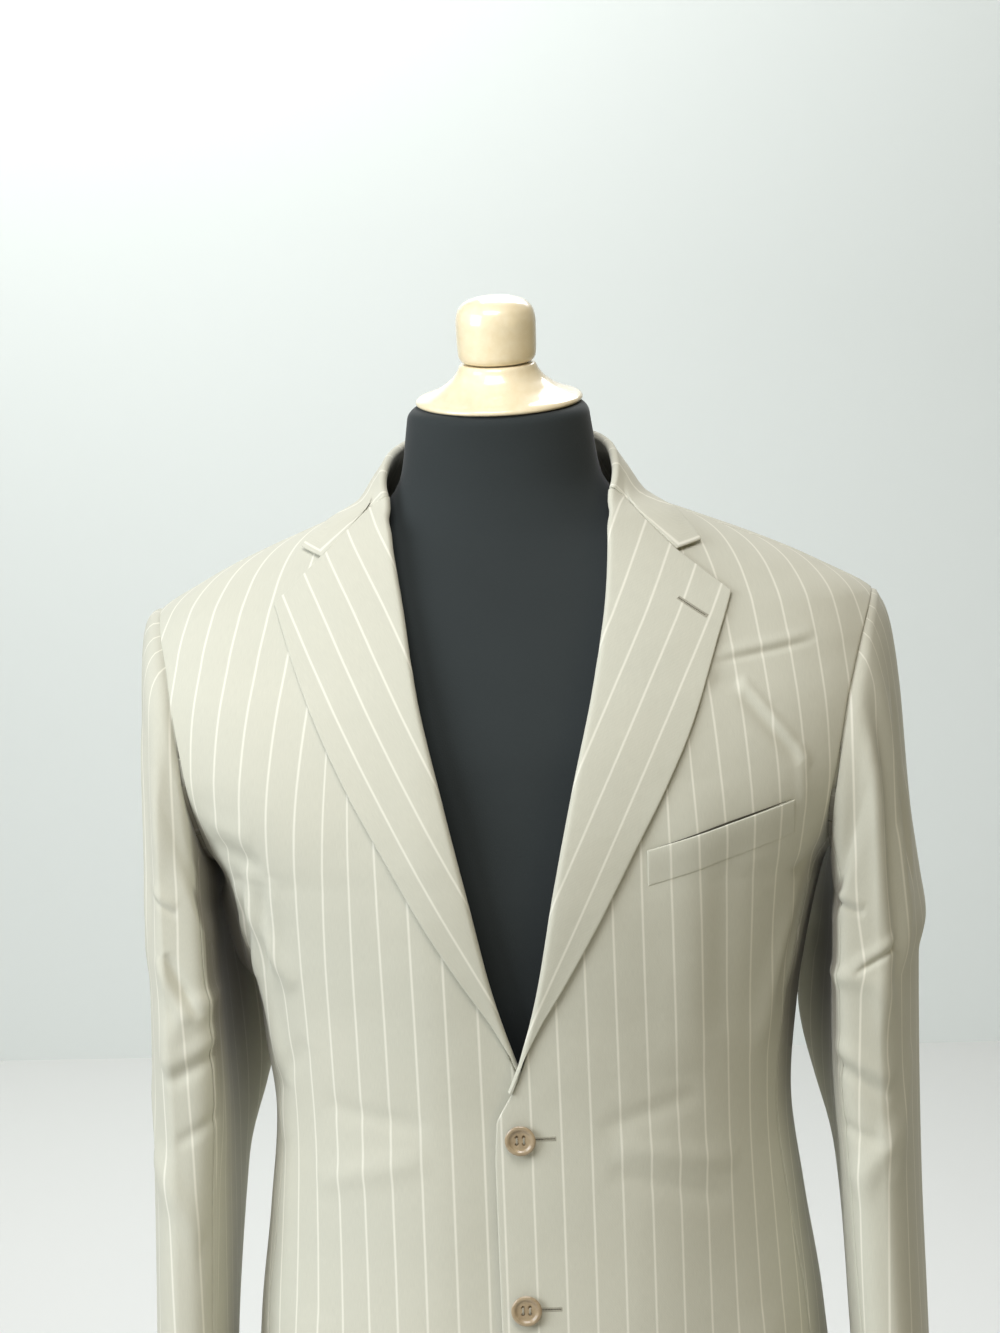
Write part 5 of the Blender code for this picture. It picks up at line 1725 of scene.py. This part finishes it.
def dress_form():
    """A closed torso through level sections; the neck's top leans forward with its cap."""
    shape = bmesh.new()
    heights = np.linspace(FORM_BOTTOM, NECK_TOP - NECK_ROUNDING, FORM_FINE_ROWS + 1 - NECK_ROWS)
    turn = np.linspace(0.0, math.pi / 2, NECK_ROWS + 1)[1:]
    heights = np.append(heights, NECK_TOP - NECK_ROUNDING * (1 - np.sin(turn)))
    bmesh.ops.create_grid(shape, x_segments=FORM_FINE_COLUMNS, y_segments=FORM_FINE_ROWS, size=0.5)
    for vertex in shape.verts:
        angle = 360 * (vertex.co.x + 0.5)
        height = heights[round((vertex.co.y + 0.5) * FORM_FINE_ROWS)]
        point = ring(FORM, angle, height)
        near_top = max(0.0, 1 - (NECK_TOP - height) / NECK_ROUNDING)
        shrink = 1 - (1 - math.sqrt(1 - near_top**2)) * NECK_ROUNDING / FORM[-1][1]
        point[0] *= shrink
        point[1] = NECK_CENTRE + (point[1] - NECK_CENTRE) * shrink
        lean = ease((height - NECK_BEND) / (NECK_TOP - NECK_BEND))
        point[2] += lean * math.tan(NECK_TILT) * (point[1] - NECK_CENTRE)
        vertex.co = leaning(point)
    solid_piece("form_jersey", shape, "form_jersey", "form_torso")


def turned(name, profile, steps, slot, place, node):
    """A shape turned about Z from a profile that runs down its outer side, then placed."""
    shape = bmesh.new()
    vertices = [shape.verts.new((radius, 0.0, height)) for height, radius in profile]
    edges = [shape.edges.new(pair) for pair in zip(vertices, vertices[1:])]
    bmesh.ops.spin(
        shape, geom=vertices + edges, axis=(0, 0, 1), cent=(0, 0, 0), steps=steps, angle=math.tau
    )
    solid_piece(name, shape, slot, node, place)


def fine_profile(table, step):
    """A turning profile with its corners softened and points a step apart."""
    knots = np.array(table)
    gone = gone_along(knots)
    at = np.linspace(0.0, gone[-1], round(gone[-1] / step))
    line = np.stack([np.interp(at, gone, values) for values in knots.T], axis=-1)
    for _ in range(PROFILE_SOFTENING):
        line[1:-1] = (line[:-2] + 2 * line[1:-1] + line[2:]) / 4
    line[[0, -1], 1] = 0.0
    return [tuple(row) for row in line]


def stand_and_neck():
    """The neck's cap and knob, and the pole on its round base."""
    neck = Matrix.Translation((NECK_LEAN[2], NECK_CENTRE, NECK_TOP))
    neck = neck @ Matrix.Rotation(NECK_TILT, 4, "X")
    cap = fine_profile(NECK_CAP, NECK_PROFILE_STEP)
    knob = fine_profile(NECK_KNOB, NECK_PROFILE_STEP)
    base = fine_profile(BASE, BASE_PROFILE_STEP)
    top = FORM_BOTTOM - SEAM
    bottom = BASE_TOP + SEAM
    pole = (
        (top, 0.0),
        (top, POLE_RADIUS - POLE_BEVEL),
        (top - POLE_BEVEL, POLE_RADIUS),
        (bottom + POLE_BEVEL, POLE_RADIUS),
        (bottom, POLE_RADIUS - POLE_BEVEL),
        (bottom, 0.0),
    )
    at_pole = Matrix.Translation((POLE_X, 0.0, 0.0))
    turned("cap_wood", cap, CAP_STEPS, "varnished_wood", neck, "neck_cap")
    turned("knob_wood", knob, KNOB_STEPS, "varnished_wood", neck, "neck_knob")
    turned("base_wood", base, BASE_STEPS, "varnished_wood", Matrix.Identity(4), "stand_base")
    turned("pole_steel", pole, POLE_STEPS, "stand_steel", at_pole, "stand_pole")


def button(name, radius, thickness, place, node):
    """A four-hole button: a grid of rings, from the middle of its face round to its back."""
    profile = np.array(BUTTON_PROFILE) * (thickness, radius)
    gone = gone_along(profile)
    at = np.linspace(0.0, gone[-1], BUTTON_RINGS)
    heights = np.interp(at, gone, profile[:, 0])
    radii = np.interp(at, gone, profile[:, 1])
    shape = bmesh.new()
    bmesh.ops.create_grid(shape, x_segments=BUTTON_STEPS, y_segments=BUTTON_RINGS - 1, size=0.5)
    centres = [(HOLE_AT * radius * x, HOLE_AT * radius * y) for x in (-1, 1) for y in (-1, 1)]
    hole = HOLE_RADIUS * radius
    for vertex in shape.verts:
        turn = math.tau * (vertex.co.x + 0.5)
        ring_number = round((vertex.co.y + 0.5) * (BUTTON_RINGS - 1))
        x = radii[ring_number] * math.cos(turn)
        y = radii[ring_number] * math.sin(turn)
        height = heights[ring_number]
        if height > thickness * FACE_FROM:
            nearest = min(math.hypot(x - hole_x, y - hole_y) for hole_x, hole_y in centres)
            inside = ease(np.array((hole * HOLE_RIM - nearest) / (hole * HOLE_BLEND)))
            height -= HOLE_DEPTH * thickness * float(inside)
        vertex.co = (x, y, height)
    solid_piece(name, shape, "button_horn", node, place)


def stitch_maker():
    """A Geometry Nodes tree: at each point, a small rounded bar as long and as turned as it says."""
    tree = bpy.data.node_groups.new("stitch_maker", "GeometryNodeTree")
    for title, kind in (
        ("Places", "NodeSocketGeometry"),
        ("Thread Radius", "NodeSocketFloat"),
        ("Sides", "NodeSocketInt"),
        ("Rings", "NodeSocketInt"),
        ("Finish", "NodeSocketMaterial"),
    ):
        tree.interface.new_socket(title, in_out="INPUT", socket_type=kind)
    tree.interface.new_socket("Stitches", in_out="OUTPUT", socket_type="NodeSocketGeometry")
    given = add(tree, "NodeGroupInput").outputs
    bar = add(tree, "GeometryNodeMeshUVSphere", inputs={"Radius": 1.0})
    way, above, reach = (
        add(tree, "GeometryNodeInputNamedAttribute", data_type=kind, inputs={"Name": title})
        for title, kind in (("way", "FLOAT_VECTOR"), ("above", "FLOAT_VECTOR"), ("reach", "FLOAT"))
    )
    size = add(tree, "ShaderNodeCombineXYZ")
    along = add(tree, "FunctionNodeAlignRotationToVector", axis="Z")
    level = add(tree, "FunctionNodeAlignRotationToVector", axis="Y", pivot_axis="Z")
    bars = add(tree, "GeometryNodeInstanceOnPoints")
    whole = add(tree, "GeometryNodeRealizeInstances")
    smooth = add(tree, "GeometryNodeSetShadeSmooth")
    finished = add(tree, "GeometryNodeSetMaterial")
    result = add(tree, "NodeGroupOutput")
    join(
        tree,
        (given["Sides"], bar.inputs["Segments"]),
        (given["Rings"], bar.inputs["Rings"]),
        (given["Thread Radius"], size.inputs[0]),
        (given["Thread Radius"], size.inputs[1]),
        (reach.outputs[0], size.inputs[2]),
        (way.outputs[0], along.inputs["Vector"]),
        (along.outputs[0], level.inputs["Rotation"]),
        (above.outputs[0], level.inputs["Vector"]),
        (given["Places"], bars.inputs["Points"]),
        (bar.outputs["Mesh"], bars.inputs["Instance"]),
        (level.outputs[0], bars.inputs["Rotation"]),
        (size.outputs[0], bars.inputs["Scale"]),
        (bars.outputs[0], smooth.inputs[0]),
        (smooth.outputs[0], whole.inputs[0]),
        (whole.outputs[0], finished.inputs["Geometry"]),
        (given["Finish"], finished.inputs["Material"]),
        (finished.outputs[0], result.inputs[0]),
    )
    return tree


def stitches(maker, name, slot, finish_name, lines, radius):
    """One joined mesh of small rounded bars; a line is its start, its end and its normal."""
    starts, ends, above = (np.array(values, float) for values in zip(*lines))
    lengths = np.linalg.norm(ends - starts, axis=-1)
    data = bpy.data.meshes.new(name)
    data.from_pydata(((starts + ends) / 2).tolist(), [], [])
    for title, kind, field, values in (
        ("way", "FLOAT_VECTOR", "vector", (ends - starts) / lengths[:, None]),
        ("above", "FLOAT_VECTOR", "vector", above),
        ("reach", "FLOAT", "value", lengths / 2 + radius),
    ):
        data.attributes.new(title, kind, "POINT").data.foreach_set(field, values.ravel())
    places = bpy.data.objects.new(name + "_places", data)
    bpy.context.scene.collection.objects.link(places)
    made = places.modifiers.new(name, "NODES")
    made.node_group = maker
    values = {
        "Thread Radius": radius,
        "Sides": STITCH_SIDES,
        "Rings": STITCH_RINGS,
        "Finish": bpy.data.materials[finish_name + "_finish"],
    }
    for socket in maker.interface.items_tree:
        if socket.in_out == "INPUT" and socket.name in values:
            made[socket.identifier] = values[socket.name]
    whole = places.evaluated_get(bpy.context.evaluated_depsgraph_get())
    data = bpy.data.meshes.new_from_object(whole)
    places.modifiers.clear()
    bpy.data.objects.remove(places)
    place_piece(name, data, slot)


def worked_hole(surface, start, end):
    """The thread bars round a buttonhole, and the bars along the slit between them, which carry its
    painted shade.
    """
    number = max(FEWEST_STITCHES, round(math.dist(start, end) / STITCH_PITCH))
    points, normals = surface(np.linspace(start, end, number))
    way = unit(points[-1] - points[0])
    aside = unit(np.cross(normals, way))
    bars = []
    for point, normal, across in zip(points, normals, aside):
        for hand in (1, -1):
            near = point + across * hand * HOLE_GAP / 2
            far = point + across * hand * (HOLE_GAP / 2 + STITCH_LENGTH / 2)
            bars.append((near, far, normal))
    reach = STITCH_LENGTH / 2 + HOLE_GAP / 2
    for place in (0, -1):
        across = aside[place] * reach
        bars.append((points[place] - across, points[place] + across, normals[place]))
    slit = list(zip(points[::SLIT_STEP], points[SLIT_STEP::SLIT_STEP], normals[::SLIT_STEP]))
    return bars, slit


def seen_from(pieces, way):
    """A reader of the outermost surface of some pieces, looked at along a level way."""
    bpy.context.view_layer.update()
    way = Vector(way)

    def surface(places):
        points = []
        normals = []
        for place in places:
            origin = Vector(place) - way
            hits = []
            for piece in pieces:
                hit, point, normal, _ = piece.ray_cast(origin, way)
                if hit:
                    hits.append(((point - origin).length, point, normal))
            _, point, normal = min(hits, key=lambda found: found[0])
            if normal.dot(way) > 0:
                normal = -normal
            points.append(point)
            normals.append(normal)
        return np.array(points), np.array(normals)

    return surface


def buttons():
    """The buttons, their thread and the worked holes that they go through."""
    pieces = bpy.data.objects
    bars = []
    slits = []
    threads = []
    front = seen_from([pieces["jacket_front_left_cloth"]], (0.0, 1.0, 0.0))
    on_lapel = seen_from([pieces["lapel_left_cloth"]], (0.0, 1.0, 0.0))
    (start_x, start_z), (end_x, end_z) = LAPEL_HOLE
    holes = [(on_lapel, (start_x, 0.0, start_z), (end_x, 0.0, end_z))]
    places = []
    for number, height in enumerate(FRONT_BUTTON_HEIGHTS, 1):
        point, normal = on_body(0.0, height, 0.0, 1)
        places.append((f"front_button_{number}", FRONT_BUTTON, point, normal))
        start, end = FRONT_HOLE
        holes.append((front, (point[0] - start, 0.0, point[2]), (point[0] + end, 0.0, point[2])))
    for side in (1, -1):
        halves = [pieces[f"sleeve_{half}_{side_name(side)}_cloth"] for half in ("under", "top")]
        cuff = seen_from(halves, (-side, 0.0, 0.0))
        for number, station in enumerate(CUFF_BUTTON_STATIONS, 1):
            point, normal = on_sleeve(CUFF_BUTTON_ANGLE, station, 0.0, side)
            node = f"cuff_button_{side_name(side)}_{number}"
            places.append((node, CUFF_BUTTON, point, normal))
            start, end = CUFF_HOLE
            beside = BESIDE_CUFF * side
            back_end = (beside, point[1] - end, point[2])
            holes.append((cuff, back_end, (beside, point[1] + start, point[2])))
    for surface, start, end in holes:
        more_bars, more_slits = worked_hole(surface, start, end)
        bars += more_bars
        slits += more_slits
    for node, (radius, thickness), point, normal in places:
        turn = Vector(normal).to_track_quat("Z", "Y").to_matrix().to_4x4()
        place = Matrix.Translation(Vector(point) + Vector(normal) * BUTTON_GAP) @ turn
        button(node + "_horn", radius, thickness, place, node)
        for x in (-1, 1):
            for shift in THREAD_SHIFTS:
                beside = (HOLE_AT * x + shift) * radius
                end = (beside, HOLE_AT * radius, THREAD_LEVEL * thickness)
                start = (beside, -HOLE_AT * radius, THREAD_LEVEL * thickness)
                threads.append((place @ Vector(start), place @ Vector(end), normal))
    maker = stitch_maker()
    stitches(maker, "buttonholes", "suit_cloth", "thread", bars, STITCH_RADIUS)
    # The buttonhole slits are drawn as dark bars: painted shade in the cut
    stitches(maker, "buttonhole_slits", "suit_cloth", "pocket_lining", slits, HOLE_GAP / 2)
    stitches(maker, "button_thread", "button_horn", "thread", threads, STITCH_RADIUS)


def add(tree, kind, **values):
    """A node with its settings and its unlinked inputs."""
    node = tree.nodes.new(kind)
    inputs = values.pop("inputs", {})
    for key, value in values.items():
        setattr(node, key, value)
    for key, value in inputs.items():
        node.inputs[key].default_value = value
    return node


def join(tree, *links):
    """Link each output to its input."""
    for start, end in links:
        tree.links.new(start, end)


def finish(name, settings):
    """A new node material with its shader's even settings, and the piece's own coordinates."""
    material = bpy.data.materials.new(name + "_finish")
    material.use_nodes = True
    tree = material.node_tree
    shader = tree.nodes["Principled BSDF"]
    for socket, value in settings.items():
        shader.inputs[socket].default_value = value
    return tree, shader, add(tree, "ShaderNodeTexCoord").outputs["Object"]


def calc(tree, operation, first, second=None, third=None):
    """A Math node; a number is set on its socket and anything else is linked."""
    node = add(tree, "ShaderNodeMath", operation=operation)
    for index, value in enumerate((first, second, third)):
        if value is None:
            continue
        if isinstance(value, (int, float)):
            node.inputs[index].default_value = value
        else:
            tree.links.new(value, node.inputs[index])
    return node.outputs[0]


def mix_colours(tree, share, first, second, blend="MIX"):
    """A Mix node; a colour or a number is set on its socket and anything else is linked."""
    node = add(tree, "ShaderNodeMix", data_type="RGBA", blend_type=blend)
    for socket, value in zip((node.inputs[0], node.inputs[6], node.inputs[7]), (share, first, second)):
        if isinstance(value, (int, float)):
            socket.default_value = value
        elif isinstance(value, tuple):
            socket.default_value = (*value, 1.0)
        else:
            tree.links.new(value, socket)
    return node.outputs[2]


def noise(tree, vector, scale, detail=2.0, roughness=0.5):
    """A noise of 0 to 1 over the coordinates."""
    settings = {"Scale": scale, "Detail": detail, "Roughness": roughness}
    node = add(tree, "ShaderNodeTexNoise", inputs=settings)
    tree.links.new(vector, node.inputs["Vector"])
    return node.outputs["Fac"]


def stretched(tree, place, scale):
    """The coordinates, scaled along each axis."""
    node = add(tree, "ShaderNodeMapping", inputs={"Scale": scale})
    tree.links.new(place, node.inputs["Vector"])
    return node.outputs[0]


def relief(tree, height, strength, distance, below=None):
    """The normal of a surface whose relief follows a height, over another relief."""
    node = add(tree, "ShaderNodeBump", inputs={"Strength": strength, "Distance": distance})
    tree.links.new(height, node.inputs["Height"])
    if below is not None:
        tree.links.new(below, node.inputs["Normal"])
    return node.outputs[0]


def suit_cloth():
    """Cream twill with woven pinstripes, laid by each piece's own flat cut."""
    tree, shader, place = finish("suit_cloth", CLOTH_SHADER)
    cut = add(tree, "ShaderNodeUVMap", uv_map="cut")
    parts = add(tree, "ShaderNodeSeparateXYZ")
    tree.links.new(cut.outputs[0], parts.inputs[0])
    across, along = parts.outputs[0], parts.outputs[1]

    pitches = calc(tree, "DIVIDE", across, STRIPE_PITCH)
    from_stripe = calc(tree, "MULTIPLY", calc(tree, "PINGPONG", pitches, 0.5), STRIPE_PITCH)
    stripe = calc(tree, "SUBTRACT", STRIPE_HALF + STRIPE_SOFT, from_stripe)
    stripe = calc(tree, "DIVIDE", stripe, 2 * STRIPE_SOFT)
    stripe = calc(tree, "MINIMUM", calc(tree, "MAXIMUM", stripe, 0.0), 1.0)

    twill = calc(tree, "SINE", calc(tree, "MULTIPLY", calc(tree, "ADD", across, along), TWILL))
    thread_place = add(tree, "ShaderNodeCombineXYZ")
    tree.links.new(calc(tree, "MULTIPLY", across, THREAD_SCALE[0]), thread_place.inputs[0])
    tree.links.new(calc(tree, "MULTIPLY", along, THREAD_SCALE[1]), thread_place.inputs[1])
    threads = noise(tree, thread_place.outputs[0], 1.0)
    patches = noise(tree, place, *CLOTH_PATCHES)

    colour = mix_colours(tree, patches, CLOTH_COOL, CLOTH_WARM)
    slub = calc(tree, "MULTIPLY_ADD", threads, *SLUB)
    slub_colour = add(tree, "ShaderNodeCombineXYZ")
    for index in range(3):
        tree.links.new(slub, slub_colour.inputs[index])
    colour = mix_colours(tree, 1.0, colour, slub_colour.outputs[0], "MULTIPLY")
    colour = mix_colours(tree, calc(tree, "MULTIPLY", stripe, STRIPE_SHARE), colour, STRIPE_COLOUR)
    # Down in the armhole's seam, where the sleeve's cut starts below 0, the cloth is in shade
    sunk = calc(tree, "MAXIMUM", calc(tree, "DIVIDE", along, -SEAM_SHADE_DEPTH), 0.0)
    colour = mix_colours(tree, calc(tree, "MINIMUM", sunk, SEAM_SHADE_SHARE), colour, SEAM_SHADE)
    under_arm = add(tree, "ShaderNodeAttribute", attribute_name="arm_shade").outputs["Fac"]
    colour = mix_colours(tree, calc(tree, "MULTIPLY", under_arm, ARM_SHADE_SHARE), colour, ARM_SHADE)
    tree.links.new(colour, shader.inputs["Base Color"])

    weave = calc(tree, "MULTIPLY", twill, TWILL_RELIEF)
    weave = calc(tree, "MULTIPLY_ADD", threads, THREAD_RELIEF, weave)
    weave = calc(tree, "MULTIPLY_ADD", stripe, STRIPE_RELIEF, weave)
    uneven = relief(tree, noise(tree, place, UNEVEN_SCALE), *UNEVEN_RELIEF)
    tree.links.new(relief(tree, weave, *WEAVE_RELIEF, uneven), shader.inputs["Normal"])


def noisy_finish(name, settings, colours, scale, *detail, stretch=None):
    """A finish whose colour drifts over the piece with a noise."""
    tree, shader, place = finish(name, settings)
    if stretch:
        place = stretched(tree, place, stretch)
    share = noise(tree, place, scale, *detail)
    tree.links.new(mix_colours(tree, share, *colours), shader.inputs["Base Color"])
    return tree, shader, place, share


def other_finishes():
    """Thread, the dark painted shade of slits, black jersey, varnished pale wood, brushed steel and
    polished horn.
    """
    noisy_finish("thread", THREAD_SHADER, THREAD_COLOURS, TWIST_SCALE)
    # Painted shade for the pocket's mouth and the buttonhole slits
    noisy_finish("pocket_lining", SLIT_SHADE_SHADER, SLIT_SHADE_COLOURS, SLIT_SHADE_SCALE)
    tree, shader, place, _ = noisy_finish("form_jersey", JERSEY_SHADER, JERSEY_COLOURS, *JERSEY_PATCHES)
    knit = noise(tree, place, JERSEY_KNIT_SCALE)
    tree.links.new(relief(tree, knit, *JERSEY_RELIEF), shader.inputs["Normal"])
    tree, shader, _, grain = noisy_finish(
        "varnished_wood", WOOD_SHADER, WOOD_COLOURS, *WOOD_FIBRES, stretch=WOOD_GRAIN
    )
    tree.links.new(relief(tree, grain, *WOOD_RELIEF), shader.inputs["Normal"])
    tree, shader, _, brushed = noisy_finish(
        "stand_steel", STEEL_SHADER, STEEL_COLOURS, 1.0, stretch=STEEL_BRUSHING
    )
    tree.links.new(calc(tree, "MULTIPLY_ADD", brushed, *STEEL_ROUGHNESS), shader.inputs["Roughness"])
    noisy_finish("button_horn", HORN_SHADER, HORN_COLOURS, *HORN_STREAKS)


def surroundings():
    """The floor's and the wall's paint; the wall is clear from behind, so the back can be seen."""
    noisy_finish("room_floor", FLOOR_SHADER, FLOOR_COLOURS, PAINT_SCALE)
    tree, shader, _, _ = noisy_finish("room_wall", WALL_SHADER, WALL_COLOURS, PAINT_SCALE)
    clear = add(tree, "ShaderNodeBsdfTransparent")
    one_sided = add(tree, "ShaderNodeMixShader")
    join(
        tree,
        (add(tree, "ShaderNodeNewGeometry").outputs["Backfacing"], one_sided.inputs[0]),
        (shader.outputs[0], one_sided.inputs[1]),
        (clear.outputs[0], one_sided.inputs[2]),
        (one_sided.outputs[0], tree.nodes["Material Output"].inputs["Surface"]),
    )


def stage_plane(name, material, size, place, turn=(0.0, 0.0, 0.0)):
    """A flat sheet of the room."""
    shape = bmesh.new()
    bmesh.ops.create_grid(shape, x_segments=1, y_segments=1, size=0.5)
    data = bpy.data.meshes.new(name)
    shape.to_mesh(data)
    shape.free()
    plane = bpy.data.objects.new(name, data)
    plane.data.materials.append(bpy.data.materials[material + "_finish"])
    plane.scale = (*size, 1.0)
    plane.location = place
    plane.rotation_euler = turn
    bpy.context.scene.collection.objects.link(plane)


def area_light(name, place, aim, size, power, colour):
    """A soft rectangular light, which the camera doesn't see."""
    data = bpy.data.lights.new(name, "AREA")
    data.shape = "RECTANGLE"
    data.size, data.size_y = size
    data.energy = power
    data.color = colour
    lamp = bpy.data.objects.new(name, data)
    lamp.location = place
    lamp.visible_camera = False
    direction = Vector(aim) - Vector(place)
    lamp.rotation_euler = direction.to_track_quat("-Z", "Y").to_euler()
    bpy.context.scene.collection.objects.link(lamp)


def room_light():
    """A dim warm light from all round, which the camera sees as pale grey."""
    world = bpy.data.worlds.new("room")
    world.use_nodes = True
    tree = world.node_tree
    dim = tree.nodes["Background"]
    dim.inputs["Color"].default_value = (*ROOM_LIGHT, 1.0)
    dim.inputs["Strength"].default_value = ROOM_STRENGTH
    pale = add(tree, "ShaderNodeBackground", inputs={"Color": (*ROOM_SEEN, 1.0)})
    shown = add(tree, "ShaderNodeMixShader")
    join(
        tree,
        (add(tree, "ShaderNodeLightPath").outputs["Is Camera Ray"], shown.inputs[0]),
        (dim.outputs[0], shown.inputs[1]),
        (pale.outputs[0], shown.inputs[2]),
        (shown.outputs[0], tree.nodes["World Output"].inputs["Surface"]),
    )
    bpy.context.scene.world = world


def stage():
    """The floor, the wall and the lights."""
    surroundings()
    stage_plane("floor", "room_floor", FLOOR_SIZE, (0.0, 0.0, 0.0))
    stage_plane("wall", "room_wall", WALL_SIZE, WALL_PLACE, (math.pi / 2, 0.0, 0.0))
    for light in LIGHTS:
        area_light(*light)
    room_light()
    bpy.context.scene.view_settings.view_transform = "Standard"


def camera():
    """Above chest height and looking down, a little to the wearer's left, slightly rolled."""
    pitch, yaw, roll = (math.radians(angle) for angle in (CAMERA_PITCH, CAMERA_YAW, CAMERA_ROLL))
    aim = Vector(CAMERA_AIM)
    away = Vector(
        (math.sin(yaw) * math.cos(pitch), -math.cos(yaw) * math.cos(pitch), math.sin(pitch))
    )
    data = bpy.data.cameras.new("camera")
    data.sensor_fit = "VERTICAL"
    data.sensor_height = SENSOR_HEIGHT
    data.lens = FOCAL_PIXELS * SENSOR_HEIGHT / IMAGE_HEIGHT
    data.clip_start = CAMERA_NEAREST
    made = bpy.data.objects.new("camera", data)
    right = Vector((math.cos(yaw), math.sin(yaw), 0.0))
    up = away.cross(right)
    rolled_right = right * math.cos(roll) - up * math.sin(roll)
    rolled_up = away.cross(rolled_right)
    turn = Matrix((rolled_right, rolled_up, away)).transposed().to_4x4()
    made.matrix_world = Matrix.Translation(aim + away * CAMERA_DISTANCE) @ turn
    bpy.context.scene.collection.objects.link(made)
    bpy.context.scene.camera = made


def main():
    """The finishes, the dress form, the cloth from the inside out, the buttons and the room."""
    suit_cloth()
    other_finishes()
    dress_form()
    stand_and_neck()
    for side in (1, -1):
        jacket_front(side)
        jacket_side(side)
        jacket_back(side)
        lapel(side)
        sleeve(side)
        flap(side)
        trousers(side)
    collar()
    breast_welt()
    waistband()
    fly()
    buttons()
    stage()
    camera()


main()
